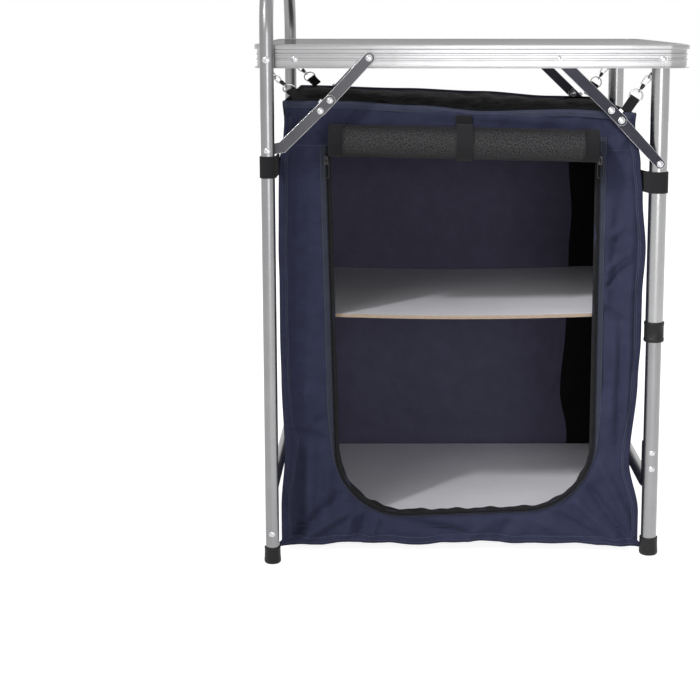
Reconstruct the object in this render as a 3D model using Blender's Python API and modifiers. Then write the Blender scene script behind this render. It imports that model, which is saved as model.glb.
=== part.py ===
"""Fabric camp kitchen cupboard.

A navy cloth cupboard with a rolled-up zip door hangs by snap hooks and leg straps under the worktop
of an aluminium camp table. The left legs are one tall hoop, and the right legs telescope.

Metres, +Z up, X to the right, Y to the back. The origin is on the floor, under the middle.
Run with: blender --background --python part.py
"""

import math

import bmesh
import bpy
from mathutils import Matrix, Vector

# Gaps between pieces
FIT = 0.0003
WELD = 0.000002
OVERRUN = 0.004

# Worktop: a laminated board in an extruded rail bent round the corners
WORKTOP_LENGTH = 0.600
WORKTOP_DEPTH = 0.480
WORKTOP_HEIGHT = 0.730
RAIL_HEIGHT = 0.0325
RAIL_WALL = 0.0016
RAIL_LIP_OUT = 0.0035
RAIL_LIP_HEIGHT = 0.007
RAIL_LEDGE = 0.008
RAIL_RIB_OUT = 0.0009
RAIL_RIB_HEIGHT = 0.0024
RAIL_RIB_DROPS = (0.0125, 0.0195)
RAIL_CORNER_RADIUS = 0.027
BOARD_THICKNESS = 0.008
BOARD_SINK = 0.0006

# Left legs: one hoop of tube that rises above the worktop
HOOP_INSET = 0.020
HOOP_RISE = 0.102
HOOP_RADIUS = 0.0095
HOOP_WALL = 0.0012
HOOP_BEND = 0.090
HOOP_CROSS_HEIGHT = 0.105
HOOP_CROSS_RADIUS = 0.008
HOOP_FOOT_RIVET_HEIGHT = 0.044
HOOP_X = HOOP_INSET - WORKTOP_LENGTH / 2
HOOP_TOP = WORKTOP_HEIGHT + HOOP_RISE

# Right legs: lower tubes that slide in upper tubes
RIGHT_LEG_INSET = 0.040
UPPER_RADIUS = 0.0125
UPPER_WALL = 0.0011
UPPER_TOP_DROP = 0.013
LOWER_RADIUS = 0.011
LOWER_WALL = 0.0012
LOWER_OVERLAP = 0.0865
RIGHT_LEG_X = WORKTOP_LENGTH / 2 - RIGHT_LEG_INSET
UPPER_TOP = WORKTOP_HEIGHT - UPPER_TOP_DROP
COLLAR_BOTTOM = 0.3135
LOWER_TOP = COLLAR_BOTTOM + LOWER_OVERLAP
COLLAR_HEIGHT = 0.0285
COLLAR_STEP = 0.006
COLLAR_WALL = 0.0016
CROSS_BAR_RADIUS = 0.0095
CROSS_BAR_HEIGHT = 0.096
CROSS_BAR_BEND = 0.026
CROSS_BAR_RIVET_HEIGHTS = (0.1525, 0.1285)
CROSS_BAR_END_REACH = 0.010

# Feet
FOOT_FLOOR = 0.004
FOOT_WALL = 0.0016
FOOT_FLARE = 0.0006
LEFT_FOOT_HEIGHT = 0.024
RIGHT_FOOT_HEIGHT = 0.026
FOOT_ROUND = 0.0022

# Rivets
RIVET_SHAFT = 0.0022
RIVET_HEAD = 0.0046
RIVET_DOME = 0.0020
RIVET_SEAT = 0.0007
SHOULDER_REACH_SHARE = 0.72
SHOULDER_RISE_SHARE = 0.75
PIVOT_SHAFT = 0.0030
PIVOT_HEAD = 0.0052
PIVOT_DROP = 0.0205
SPACER_RADIUS = 0.0062
RAIL_RIVET_REACH = 0.037
PIVOT_HEIGHT = WORKTOP_HEIGHT - PIVOT_DROP
RAIL_RIVET_X = HOOP_X + RAIL_RIVET_REACH

# Knee braces, two links each: reach from the leg, and drop from the worktop
LINK_THICKNESS = 0.0020
LINK_HALF_WIDTH = 0.0077
LINK_TAIL = 0.0195
LUG_LENGTH = 0.006
LUG_THICKNESS = 0.0016
BRACE_LEG_HALF_WIDTH = 0.0068
LEFT_RAIL_REACH, LEFT_RAIL_DROP = 0.1384, 0.0185
LEFT_KNEE_REACH, LEFT_KNEE_DROP = 0.0850, 0.0760
LEFT_BEND_REACH, LEFT_BEND_DROP = 0.0190, 0.1400
LEFT_LEG_DROP = 0.1434
RIGHT_RAIL_REACH, RIGHT_RAIL_DROP = 0.1430, 0.0190
RIGHT_KNEE_REACH, RIGHT_KNEE_DROP = 0.0690, 0.0900
RIGHT_LEG_DROP = 0.1640
LEFT_BRACE_RAIL = (HOOP_X + LEFT_RAIL_REACH, WORKTOP_HEIGHT - LEFT_RAIL_DROP)
LEFT_BRACE_KNEE = (HOOP_X + LEFT_KNEE_REACH, WORKTOP_HEIGHT - LEFT_KNEE_DROP)
LEFT_BRACE_BEND = (HOOP_X + LEFT_BEND_REACH, WORKTOP_HEIGHT - LEFT_BEND_DROP)
LEFT_BRACE_LEG = (HOOP_X, WORKTOP_HEIGHT - LEFT_LEG_DROP)
RIGHT_BRACE_RAIL = (RIGHT_LEG_X - RIGHT_RAIL_REACH, WORKTOP_HEIGHT - RIGHT_RAIL_DROP)
RIGHT_BRACE_KNEE = (RIGHT_LEG_X - RIGHT_KNEE_REACH, WORKTOP_HEIGHT - RIGHT_KNEE_DROP)
RIGHT_BRACE_LEG = (RIGHT_LEG_X, WORKTOP_HEIGHT - RIGHT_LEG_DROP)

# Cupboard: cloth walls
CLOTH = 0.0016
WALL_CLEARANCE = 0.0007
FRONT_WALL_INSET = 0.032
BACK_WALL_INSET = 0.015
CUPBOARD_BOTTOM = 0.014
CUPBOARD_DROP = 0.079
EDGE_SWAY = 0.010
TOP_DROP = 0.016
HEM_RISE = 0.007
TOP_PANEL_SINK = 0.004
TOP_PANEL_SAG = 0.006
FRONT_FOLD = 0.0035
SIDE_FOLD = 0.0075
BACK_FOLD = 0.006
HEM_FLARE = 0.004
FOLD_FADE = 0.030
SEAM_FLAT = 0.008
SEAM_CROWD = 0.6

# Outline of the cloth: shares of its height, from the hem up, and of the sway
LEFT_EDGE_SHARES = (
    (0.00, 0.50), (0.08, 0.50), (0.21, -0.07), (0.38, 0.30), (0.48, 0.42), (0.60, 0.42), (0.67, 0.50),
    (0.76, 0.43), (0.86, 0.34), (0.92, -0.35), (0.96, -0.50), (1.00, -0.28),
)
RIGHT_EDGE_SHARES = (
    (0.00, 0.45), (0.07, 0.45), (0.19, -1.00), (0.38, -0.05), (0.47, 0.25), (0.57, 0.25), (0.67, 0.60),
    (0.79, 0.00), (0.86, -0.40), (0.95, -1.30), (1.00, -1.00),
)
# Drop of the top edge: shares of the width, from the left, and of the drop
TOP_EDGE_SHARES = ((0.00, 0.00), (0.16, 0.05), (0.38, 0.42), (0.57, 0.92), (0.80, 0.76), (1.00, 1.05))
REAR_TOP_SHARES = ((0.00, -0.20), (0.35, 0.10), (0.60, 0.40), (0.85, 0.90), (1.00, 1.00))
# Rise of the hem: shares of the width and of the rise
HEM_SHARES = (
    (0.00, 0.00), (0.07, 0.55), (0.20, 0.80), (0.38, 0.50), (0.55, 0.95), (0.75, 0.75), (0.90, 0.45),
    (1.00, -0.10),
)
# Folds of the cloth: crests, lean and phase
FRONT_WAVES = (5, 1.2, 0.3)
FLARE_WAVES = (4, 0, 0.1)
BACK_WAVES = (3.5, 0.7, 0.2)
SIDE_WAVES = (3.5, 0.5, 0.15)
FRONT_PANEL_CELLS = (24, 24)
SIDE_PANEL_CELLS = (12, 16)
BACK_PANEL_CELLS = (12, 14)
TOP_PANEL_CELLS = (12, 6)
# The walls stand clear of the legs at the widest point of their edges
LEFT_SWAY = EDGE_SWAY * max(share for _, share in LEFT_EDGE_SHARES)
RIGHT_SWAY = EDGE_SWAY * max(share for _, share in RIGHT_EDGE_SHARES)
CUPBOARD_LEFT = -HOOP_X - HOOP_RADIUS - LEFT_SWAY - CLOTH / 2 - WALL_CLEARANCE
CUPBOARD_RIGHT = RIGHT_LEG_X - UPPER_RADIUS - RIGHT_SWAY - CLOTH / 2 - WALL_CLEARANCE
CUPBOARD_FRONT = WORKTOP_DEPTH / 2 - FRONT_WALL_INSET
CUPBOARD_BACK = WORKTOP_DEPTH / 2 - BACK_WALL_INSET
CUPBOARD_TOP = WORKTOP_HEIGHT - CUPBOARD_DROP

# Door opening, a U with a slanting left side
OPENING_HEADER = 0.053
OPENING_STILE_LEFT_TOP = 0.0665
OPENING_STILE_LEFT_BOTTOM = 0.0790
OPENING_STILE_RIGHT = 0.0655
OPENING_SILL_LEFT = 0.042
OPENING_SILL_RIGHT = 0.056
OPENING_RADIUS = 0.095
OPENING_TOP_RADIUS = 0.012
OPENING_TOP = CUPBOARD_TOP - OPENING_HEADER
OPENING_LEFT_TOP = OPENING_STILE_LEFT_TOP - CUPBOARD_LEFT
OPENING_LEFT_BOTTOM = OPENING_STILE_LEFT_BOTTOM - CUPBOARD_LEFT
OPENING_RIGHT = CUPBOARD_RIGHT - OPENING_STILE_RIGHT
OPENING_BOTTOM_LEFT = CUPBOARD_BOTTOM + OPENING_SILL_LEFT
OPENING_BOTTOM_RIGHT = CUPBOARD_BOTTOM + OPENING_SILL_RIGHT

# Zip
ZIP_EDGE = 0.0055
ZIP_RADIUS = 0.0012
ZIP_TOP_DROP = 0.017
ZIP_TOP = OPENING_TOP - ZIP_TOP_DROP
SLIDER_HALF_WIDTH = 0.0030
SLIDER_LENGTH = 0.012
SLIDER_WALL = 0.0011
SLIDER_START_DROP = 0.012
SLIDER_ARCH_WIRE = 0.0007
SLIDER_ARCH_RISE = 0.0034
SLIDER_ARCH_HALF = 0.0036
PULL_WIRE = 0.0007
PULL_HALF_WIDTH = 0.0040
PULL_LENGTH = 0.024
PULL_CORNER = 0.0024

# Rolled-up door and the strap that holds it
ROLL_RADIUS = 0.0240
ROLL_STEP = 0.0016
ROLL_END_SETBACK = 0.0005
ROLL_RISE_LEFT = 0.002
ROLL_DROP_RIGHT = 0.006
ROLL_CORE = 0.0040
ROLL_STRAP_THICKNESS = 0.0013
ROLL_STRAP_WIDTH = 0.0166
ROLL_STRAP_OFFSET = 0.0010
ROLL_STRAP_REACH = 0.010
ROLL_LEFT = OPENING_LEFT_TOP
ROLL_RIGHT = OPENING_RIGHT - ROLL_END_SETBACK
ROLL_HEIGHT_LEFT = OPENING_TOP + ROLL_RISE_LEFT
ROLL_HEIGHT_RIGHT = OPENING_TOP - ROLL_DROP_RIGHT

# Boards
SHELF_RISE = 0.338
SHELF_THICKNESS = 0.005
SHELF_FRONT_SETBACK = 0.010
SHELF_SAG = 0.006
FLOOR_BOARD_RISE = 0.0285
FLOOR_BOARD_THICKNESS = 0.004
LEDGE_REACH = 0.011
SHELF_TOP = CUPBOARD_BOTTOM + SHELF_RISE
FLOOR_BOARD_TOP = CUPBOARD_BOTTOM + FLOOR_BOARD_RISE

# Webbing straps round the legs
STRAP_THICKNESS = 0.0016
STRAP_WIDTH = 0.030
LEFT_STRAP_DROP = 0.0870
RIGHT_STRAP_DROP = 0.1115
STRAP_END_SETBACK = 0.015
LEFT_STRAP_HEIGHT = CUPBOARD_TOP - LEFT_STRAP_DROP
RIGHT_STRAP_HEIGHT = CUPBOARD_TOP - RIGHT_STRAP_DROP

# Hooks at the four top corners
EYE_RING = 0.0044
EYE_WIRE = 0.0009
EYE_RISE = 0.039
EYE_HEIGHT = CUPBOARD_TOP + EYE_RISE
HOOK_BOW_HALF_WIDTH = 0.0042
HOOK_BOW_LENGTH = 0.0142
HOOK_WIRE = 0.0009
HOOK_BARREL_RADIUS = 0.0028
HOOK_BARREL_LENGTH = 0.0072
HOOK_SWIVEL_RING = 0.0029
RING_RADIUS = 0.0090
RING_WIRE = 0.0011
TAB_WIDTH = 0.0142
TAB_THICKNESS = 0.0048
TAB_SLOT_HEIGHT = 0.0030
TAB_NOSE = 0.0012
LEFT_TAB_INSET = 0.030
RIGHT_TAB_INSET = 0.026
GATE_WIRE = 0.0008
GATE_GAP = 0.0006

# Facets
ROUND_STEPS = 16
SMALL_STEPS = 8
RING_STEPS = 10
CORNER_STEPS = 6
END_STEPS = 6
ROLL_STEPS = 26
TUBE_RESOLUTION = 4
WIRE_RESOLUTION = 1
UNIT = 1.0

# Where the pieces meet, worked out from the sizes above
RAIL_FACE_X = WORKTOP_LENGTH / 2 - RAIL_LIP_OUT
RAIL_FACE_Y = WORKTOP_DEPTH / 2 - RAIL_LIP_OUT
RAIL_INNER_Y = RAIL_FACE_Y - RAIL_WALL
RAIL_RIB_Y = RAIL_FACE_Y + RAIL_RIB_OUT
LEFT_LEG_Y = WORKTOP_DEPTH / 2 + 2 * LINK_THICKNESS + 3 * FIT + HOOP_RADIUS
RIGHT_LEG_Y = RAIL_INNER_Y - 2 * LINK_THICKNESS - 3 * FIT - UPPER_RADIUS
CROSS_BAR_Y = RIGHT_LEG_Y - LOWER_RADIUS - FIT - CROSS_BAR_RADIUS
FRONT_SURFACE = -CUPBOARD_FRONT - CLOTH / 2
ROLL_Y = FRONT_SURFACE - 2 * FIT - ROLL_STRAP_THICKNESS - ROLL_RADIUS - FIT
ZIP_Y = FRONT_SURFACE - FIT - ZIP_RADIUS
FACET_EASE = 1 / math.cos(math.pi / ROUND_STEPS)
FRONT = -1
REAR = 1


def clear_scene():
    """Remove every object, and the unused data that they leave."""
    for obj in list(bpy.data.objects):
        bpy.data.objects.remove(obj, do_unlink=True)
    for mesh in list(bpy.data.meshes):
        bpy.data.meshes.remove(mesh)


clear_scene()
PARTS = bpy.data.collections.new("fabric_camp_kitchen_cupboard")
TOOLS = bpy.data.collections.new("cutters_and_guides")
bpy.context.scene.collection.children.link(PARTS)
bpy.context.scene.collection.children.link(TOOLS)


def material(name, colour, roughness, metallic):
    """A plain Principled material."""
    made = bpy.data.materials.new(name)
    made.use_nodes = True
    shader = made.node_tree.nodes["Principled BSDF"]
    shader.inputs["Base Color"].default_value = (*colour, 1.0)
    shader.inputs["Roughness"].default_value = roughness
    shader.inputs["Metallic"].default_value = metallic
    made.diffuse_color = (*colour, 1.0)
    return made


ALUMINIUM = material("aluminium", (0.62, 0.63, 0.65), 0.35, 1.0)
STEEL = material("steel", (0.60, 0.60, 0.61), 0.25, 1.0)
LAMINATE = material("laminate", (0.55, 0.55, 0.57), 0.25, 0.0)
BLACK_PLASTIC = material("black_plastic", (0.02, 0.02, 0.02), 0.45, 0.0)
NAVY_CLOTH = material("navy_cloth", (0.035, 0.038, 0.075), 0.85, 0.0)
BLACK_CLOTH = material("black_cloth", (0.015, 0.015, 0.016), 0.9, 0.0)
WEBBING = material("webbing", (0.012, 0.012, 0.013), 0.8, 0.0)
WHITE_BOARD = material("white_board", (0.75, 0.75, 0.77), 0.5, 0.0)
ZIP_COIL = material("zip_coil", (0.01, 0.01, 0.01), 0.5, 0.0)


# Shared shapes


def dress(obj, surface, sharp_angle=math.radians(40)):
    """Give a mesh object its material and smooth shading with sharp edges."""
    obj.data.materials.clear()
    obj.data.materials.append(surface)
    obj.data.shade_smooth()
    obj.data.set_sharp_from_angle(angle=sharp_angle)
    return obj


def mesh_object(name, bm, surface, collection=None):
    """Turn a bmesh into an object of the part."""
    mesh = bpy.data.meshes.new(name)
    bm.to_mesh(mesh)
    bm.free()
    obj = bpy.data.objects.new(name, mesh)
    (collection or PARTS).objects.link(obj)
    return dress(obj, surface)


def hide_tool(obj):
    """Mark a cutter, a guide or a fused piece as no part of its own."""
    for holder in list(obj.users_collection):
        holder.objects.unlink(obj)
    TOOLS.objects.link(obj)
    obj.hide_render = True
    obj.display_type = "WIRE"
    return obj


def combine(target, tool, operation):
    """Cut the tool out of the target, or fuse it on."""
    hide_tool(tool)
    modifier = target.modifiers.new(operation.lower() + "_" + tool.name, "BOOLEAN")
    modifier.operation = operation
    modifier.solver = "EXACT"
    modifier.object = tool
    return target


def fuse(target, tool):
    """Fuse a piece on, such as a rivet on the link that carries it."""
    return combine(target, tool, "UNION")


def cut(target, tool):
    """Cut a hole or an opening."""
    return combine(target, tool, "DIFFERENCE")


def frame_at(origin, x_axis, z_axis):
    """A placing matrix from an origin, a local X and a local Z direction."""
    z_dir = Vector(z_axis).normalized()
    x_dir = (Vector(x_axis) - Vector(x_axis).dot(z_dir) * z_dir).normalized()
    y_dir = z_dir.cross(x_dir)
    placing = Matrix((x_dir, y_dir, z_dir)).transposed().to_4x4()
    placing.translation = Vector(origin)
    return placing


def rounded(points, radii, steps, closed):
    """Points of a polyline with arcs in place of its corners; radius 0 keeps a corner."""
    corners = [Vector(p) for p in points]
    count = len(corners)
    result = []
    for index, corner in enumerate(corners):
        radius = radii[index]
        at_end = not closed and index in (0, count - 1)
        if radius == 0 or at_end:
            result.append(corner)
            continue
        back = (corners[index - 1] - corner).normalized()
        ahead = (corners[(index + 1) % count] - corner).normalized()
        half = back.angle(ahead) / 2
        centre = corner + (back + ahead).normalized() * (radius / math.sin(half))
        start = corner + back * (radius / math.tan(half)) - centre
        end = corner + ahead * (radius / math.tan(half)) - centre
        sweep = math.pi - 2 * half
        for step in range(steps + 1):
            share = step / steps
            arm = start * math.sin((1 - share) * sweep) + end * math.sin(share * sweep)
            result.append(centre + arm / math.sin(sweep))
    return result


def circle(radius, steps, centre=(0, 0), phase=0):
    """Points of a circle in a flat outline; the phase is a share of one step."""
    turn = 2 * math.pi / steps
    points = []
    for k in range(steps):
        angle = turn * (k + phase)
        x, y = centre[0] + radius * math.cos(angle), centre[1] + radius * math.sin(angle)
        points.append(Vector((x, y, 0)))
    return points


def curve_object(name, splines, cyclic, flat):
    """A curve object of straight-sided splines."""
    curve = bpy.data.curves.new(name, "CURVE")
    curve.dimensions = "2D" if flat else "3D"
    for points in splines:
        spline = curve.splines.new("POLY")
        spline.points.add(len(points) - 1)
        for knot, point in zip(spline.points, points):
            place = Vector(point).to_3d()
            knot.co = (place.x, place.y, place.z, 1.0)
        spline.use_cyclic_u = cyclic
    obj = bpy.data.objects.new(name, curve)
    PARTS.objects.link(obj)
    return obj


def as_mesh(obj, surface):
    """Turn a curve object into a welded mesh object in the same place."""
    depsgraph = bpy.context.evaluated_depsgraph_get()
    mesh = bpy.data.meshes.new_from_object(obj.evaluated_get(depsgraph))
    bm = bmesh.new()
    bm.from_mesh(mesh)
    bmesh.ops.remove_doubles(bm, verts=bm.verts, dist=WELD)
    bmesh.ops.recalc_face_normals(bm, faces=bm.faces)
    bpy.data.meshes.remove(mesh)
    name, placing = obj.name, obj.matrix_world.copy()
    bpy.data.objects.remove(obj, do_unlink=True)
    solid = mesh_object(name, bm, surface)
    solid.matrix_world = placing
    return solid


def tube(name, points, radius, surface, resolution=TUBE_RESOLUTION, cyclic=False, wall=0):
    """A round bar along a path, or a tube with open ends when it has a wall."""
    obj = curve_object(name, [points], cyclic, flat=False)
    obj.data.bevel_depth = radius
    obj.data.bevel_resolution = resolution
    obj.data.use_fill_caps = not cyclic and wall == 0
    solid = as_mesh(obj, surface)
    if wall:
        shell = solid.modifiers.new("wall", "SOLIDIFY")
        shell.thickness = wall
        shell.offset = -1
    return solid


def plate(name, outline, thickness, placing, surface, holes=()):
    """A flat piece from an outline, centred on its own plane."""
    obj = curve_object(name, [outline, *holes], cyclic=True, flat=True)
    obj.data.fill_mode = "BOTH"
    obj.data.extrude = thickness / 2
    solid = as_mesh(obj, surface)
    solid.matrix_world = placing
    return solid


def turned(name, profile, steps, placing, surface, closed=False):
    """A turned piece from (radius, height) points that run down the outer side."""
    bm = bmesh.new()
    verts = [bm.verts.new((radius, 0, height)) for radius, height in profile]
    for first, second in zip(verts, verts[1:]):
        bm.edges.new((first, second))
    if closed:
        bm.edges.new((verts[-1], verts[0]))
    obj = mesh_object(name, bm, surface)
    screw = obj.modifiers.new("turn", "SCREW")
    screw.steps = steps
    screw.render_steps = steps
    screw.use_merge_vertices = True
    screw.merge_threshold = WELD
    obj.matrix_world = placing
    return obj


def rod(name, start, end, radius, steps, surface):
    """A plain cylinder between two points."""
    along = Vector(end) - Vector(start)
    bm = bmesh.new()
    bmesh.ops.create_cone(
        bm, cap_ends=True, segments=steps, radius1=radius, radius2=radius, depth=along.length
    )
    obj = mesh_object(name, bm, surface)
    side = Vector((0, 0, 1)) if abs(along.normalized().z) < 0.9 else Vector((1, 0, 0))
    obj.matrix_world = frame_at((Vector(start) + Vector(end)) / 2, side, along)
    return obj


def block(name, size, placing, surface):
    """A plain box of a given size."""
    bm = bmesh.new()
    bmesh.ops.create_cube(bm, size=UNIT)
    bmesh.ops.scale(bm, vec=Vector(size), verts=bm.verts)
    obj = mesh_object(name, bm, surface)
    obj.matrix_world = placing
    return obj


def rivet(name, foot, outward, length, shaft=RIVET_SHAFT, head=RIVET_HEAD, surface=ALUMINIUM):
    """A domed rivet: foot is under its back head, and length runs out to under its front head."""
    shoulder = head * SHOULDER_REACH_SHARE
    rise = RIVET_DOME * SHOULDER_RISE_SHARE
    profile = (
        (0, length + RIVET_DOME), (shoulder, length + rise), (head, length), (shaft, length),
        (shaft, 0), (head, 0), (shoulder, -rise), (0, -RIVET_DOME),
    )
    placing = frame_at(foot, (0, 0, 1), outward)
    return turned(name, profile, SMALL_STEPS, placing, surface)


def lookup(table, share):
    """A smooth value between the rows of a table of shares."""
    if share <= table[0][0]:
        return table[0][1]
    for (low, first), (high, second) in zip(table, table[1:]):
        if share <= high:
            blend = (share - low) / (high - low)
            blend = blend * blend * (3 - 2 * blend)
            return first + (second - first) * blend
    return table[-1][1]


def near_seams(share):
    """A share moved towards the nearer end, so that a grid is finer along its seams."""
    return share - SEAM_CROWD * math.sin(2 * math.pi * share) / (2 * math.pi)


def fade(distance, reach=FOLD_FADE):
    """0 at a seam, rising smoothly to 1 at the given reach from it."""
    share = min(max(distance / reach, 0), 1)
    return share * share * (3 - 2 * share)


# Worktop


def rail_profile():
    """Section of the rail: -x is outward from the web's face, y is up from the top edge."""
    ledge_top = -(BOARD_SINK + BOARD_THICKNESS + FIT)
    points = [(0, 0), (RAIL_LIP_OUT, 0), (RAIL_LIP_OUT, -RAIL_LIP_HEIGHT), (0, -RAIL_LIP_HEIGHT)]
    for drop in RAIL_RIB_DROPS:
        points += [
            (0, -drop), (RAIL_RIB_OUT, -drop),
            (RAIL_RIB_OUT, -drop - RAIL_RIB_HEIGHT), (0, -drop - RAIL_RIB_HEIGHT),
        ]
    points += [
        (0, -RAIL_HEIGHT + RAIL_WALL), (RAIL_LIP_OUT, -RAIL_HEIGHT + RAIL_WALL),
        (RAIL_LIP_OUT, -RAIL_HEIGHT), (-RAIL_WALL, -RAIL_HEIGHT),
        (-RAIL_WALL, ledge_top - RAIL_WALL), (-RAIL_LEDGE, ledge_top - RAIL_WALL),
        (-RAIL_LEDGE, ledge_top), (-RAIL_WALL, ledge_top), (-RAIL_WALL, 0),
    ]
    return [(-outward, height) for outward, height in points]


def worktop_corners(inset):
    """Corners of the worktop, a distance inside the web's face."""
    x, y = RAIL_FACE_X - inset, RAIL_FACE_Y - inset
    return [(x, -y, 0), (x, y, 0), (-x, y, 0), (-x, -y, 0)]


def make_worktop():
    """The bent rail with its ribs and ledge, and the board that lies in it."""
    path = rounded(worktop_corners(0), [RAIL_CORNER_RADIUS] * 4, END_STEPS, closed=True)
    guide = curve_object("rail_section", [rail_profile()], cyclic=True, flat=True)
    rail = curve_object("rail_frame", [path], cyclic=True, flat=True)
    rail.data.bevel_mode = "OBJECT"
    rail.data.bevel_object = guide
    rail.location.z = WORKTOP_HEIGHT
    bpy.context.view_layer.update()
    rail = as_mesh(rail, ALUMINIUM)
    bpy.data.objects.remove(guide, do_unlink=True)

    inset = RAIL_WALL + FIT
    outline = rounded(worktop_corners(inset), [RAIL_CORNER_RADIUS - inset] * 4, END_STEPS, closed=True)
    centre = WORKTOP_HEIGHT - BOARD_SINK - BOARD_THICKNESS / 2
    plate("worktop_board", outline, BOARD_THICKNESS, Matrix.Translation((0, 0, centre)), LAMINATE)

    hole = RIVET_SHAFT + FIT
    pivot_hole = PIVOT_SHAFT + FIT
    for side in (FRONT, REAR):
        tag = "front" if side == FRONT else "rear"
        holes = (
            ("brace_left_", *LEFT_BRACE_RAIL, hole),
            ("brace_right_", *RIGHT_BRACE_RAIL, hole),
            ("pivot_left_", HOOP_X, PIVOT_HEIGHT, pivot_hole),
            ("pivot_right_", RIGHT_LEG_X, PIVOT_HEIGHT, pivot_hole),
        )
        for name, x, z, radius in holes:
            start = (x, side * (RAIL_INNER_Y - RAIL_LEDGE), z)
            end = (x, side * (RAIL_FACE_Y + OVERRUN), z)
            cut(rail, rod("hole_" + name + tag, start, end, radius, SMALL_STEPS, ALUMINIUM))
        foot = (RAIL_RIVET_X, side * (RAIL_INNER_Y - WELD), PIVOT_HEIGHT)
        fuse(rail, rivet("rail_rivet_" + tag, foot, (0, side, 0), RAIL_WALL))


# Legs


def foot(name, x, y, tube_radius, height):
    """A plastic cap on the end of a leg, round at the bottom edge and open at the top."""
    bore = (tube_radius + FIT) * FACET_EASE
    outer = bore + FOOT_WALL
    wide = outer + FOOT_FLARE
    profile = (
        (0, FOOT_FLOOR), (bore, FOOT_FLOOR), (bore, height), (outer, height),
        (wide, FOOT_ROUND), (wide - FOOT_ROUND / 3, FOOT_ROUND / 3), (wide - FOOT_ROUND, 0), (0, 0),
    )
    return turned(name, profile, ROUND_STEPS, Matrix.Translation((x, y, 0)), BLACK_PLASTIC)


def pivot(name, x, side, start, end, spacer_start, spacer_end):
    """A leg's pivot bolt along Y, with a spacer on it; distances are from the middle plane."""
    bolt = rivet(
        name, (x, side * start, PIVOT_HEIGHT), (0, side, 0), end - start, PIVOT_SHAFT, PIVOT_HEAD
    )
    spacer = rod(
        name + "_spacer", (x, side * spacer_start, PIVOT_HEIGHT), (x, side * spacer_end, PIVOT_HEIGHT),
        SPACER_RADIUS, SMALL_STEPS, ALUMINIUM,
    )
    return bolt, spacer


def make_left_legs():
    """The hoop with its pivots and hook eyes, its cross bar and its feet."""
    base = FOOT_FLOOR + FIT
    corners = [
        (HOOP_X, -LEFT_LEG_Y, base), (HOOP_X, -LEFT_LEG_Y, HOOP_TOP),
        (HOOP_X, LEFT_LEG_Y, HOOP_TOP), (HOOP_X, LEFT_LEG_Y, base),
    ]
    path = rounded(corners, [0, HOOP_BEND, HOOP_BEND, 0], END_STEPS, closed=False)
    hoop = tube("left_hoop", path, HOOP_RADIUS, ALUMINIUM, wall=HOOP_WALL)
    inside = LEFT_LEG_Y - HOOP_RADIUS
    outside = LEFT_LEG_Y + HOOP_RADIUS - RIVET_SEAT
    inner_bend = RAIL_CORNER_RADIUS - RAIL_WALL
    into_bend = PIVOT_HEAD - HOOP_X - (RAIL_FACE_X - RAIL_CORNER_RADIUS)
    bend_drop = inner_bend - math.sqrt(inner_bend ** 2 - into_bend ** 2)
    for side in (FRONT, REAR):
        tag = "front" if side == FRONT else "rear"
        pieces = pivot(
            "left_pivot_" + tag, HOOP_X, side,
            RAIL_INNER_Y - bend_drop - 2 * FIT, outside, RAIL_RIB_Y + FIT, inside + HOOP_WALL,
        )
        brace_end = WORKTOP_DEPTH / 2 + LINK_THICKNESS + FIT
        leg_rivet = rivet(
            "left_leg_rivet_" + tag, (HOOP_X, side * brace_end, LEFT_BRACE_LEG[1]), (0, side, 0),
            outside - brace_end,
        )
        foot_rivet = rivet(
            "left_foot_rivet_" + tag, (HOOP_X, side * (inside + RIVET_SEAT), HOOP_FOOT_RIVET_HEIGHT),
            (0, side, 0), outside - inside - RIVET_SEAT,
        )
        for piece in (*pieces, leg_rivet, foot_rivet):
            fuse(hoop, piece)
        foot("left_foot_" + tag, HOOP_X, side * LEFT_LEG_Y, HOOP_RADIUS, LEFT_FOOT_HEIGHT)
    reach = inside - FIT
    ends = [(HOOP_X, -reach, HOOP_CROSS_HEIGHT), (HOOP_X, reach, HOOP_CROSS_HEIGHT)]
    tube("left_cross_bar", ends, HOOP_CROSS_RADIUS, ALUMINIUM)
    return hoop


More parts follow.
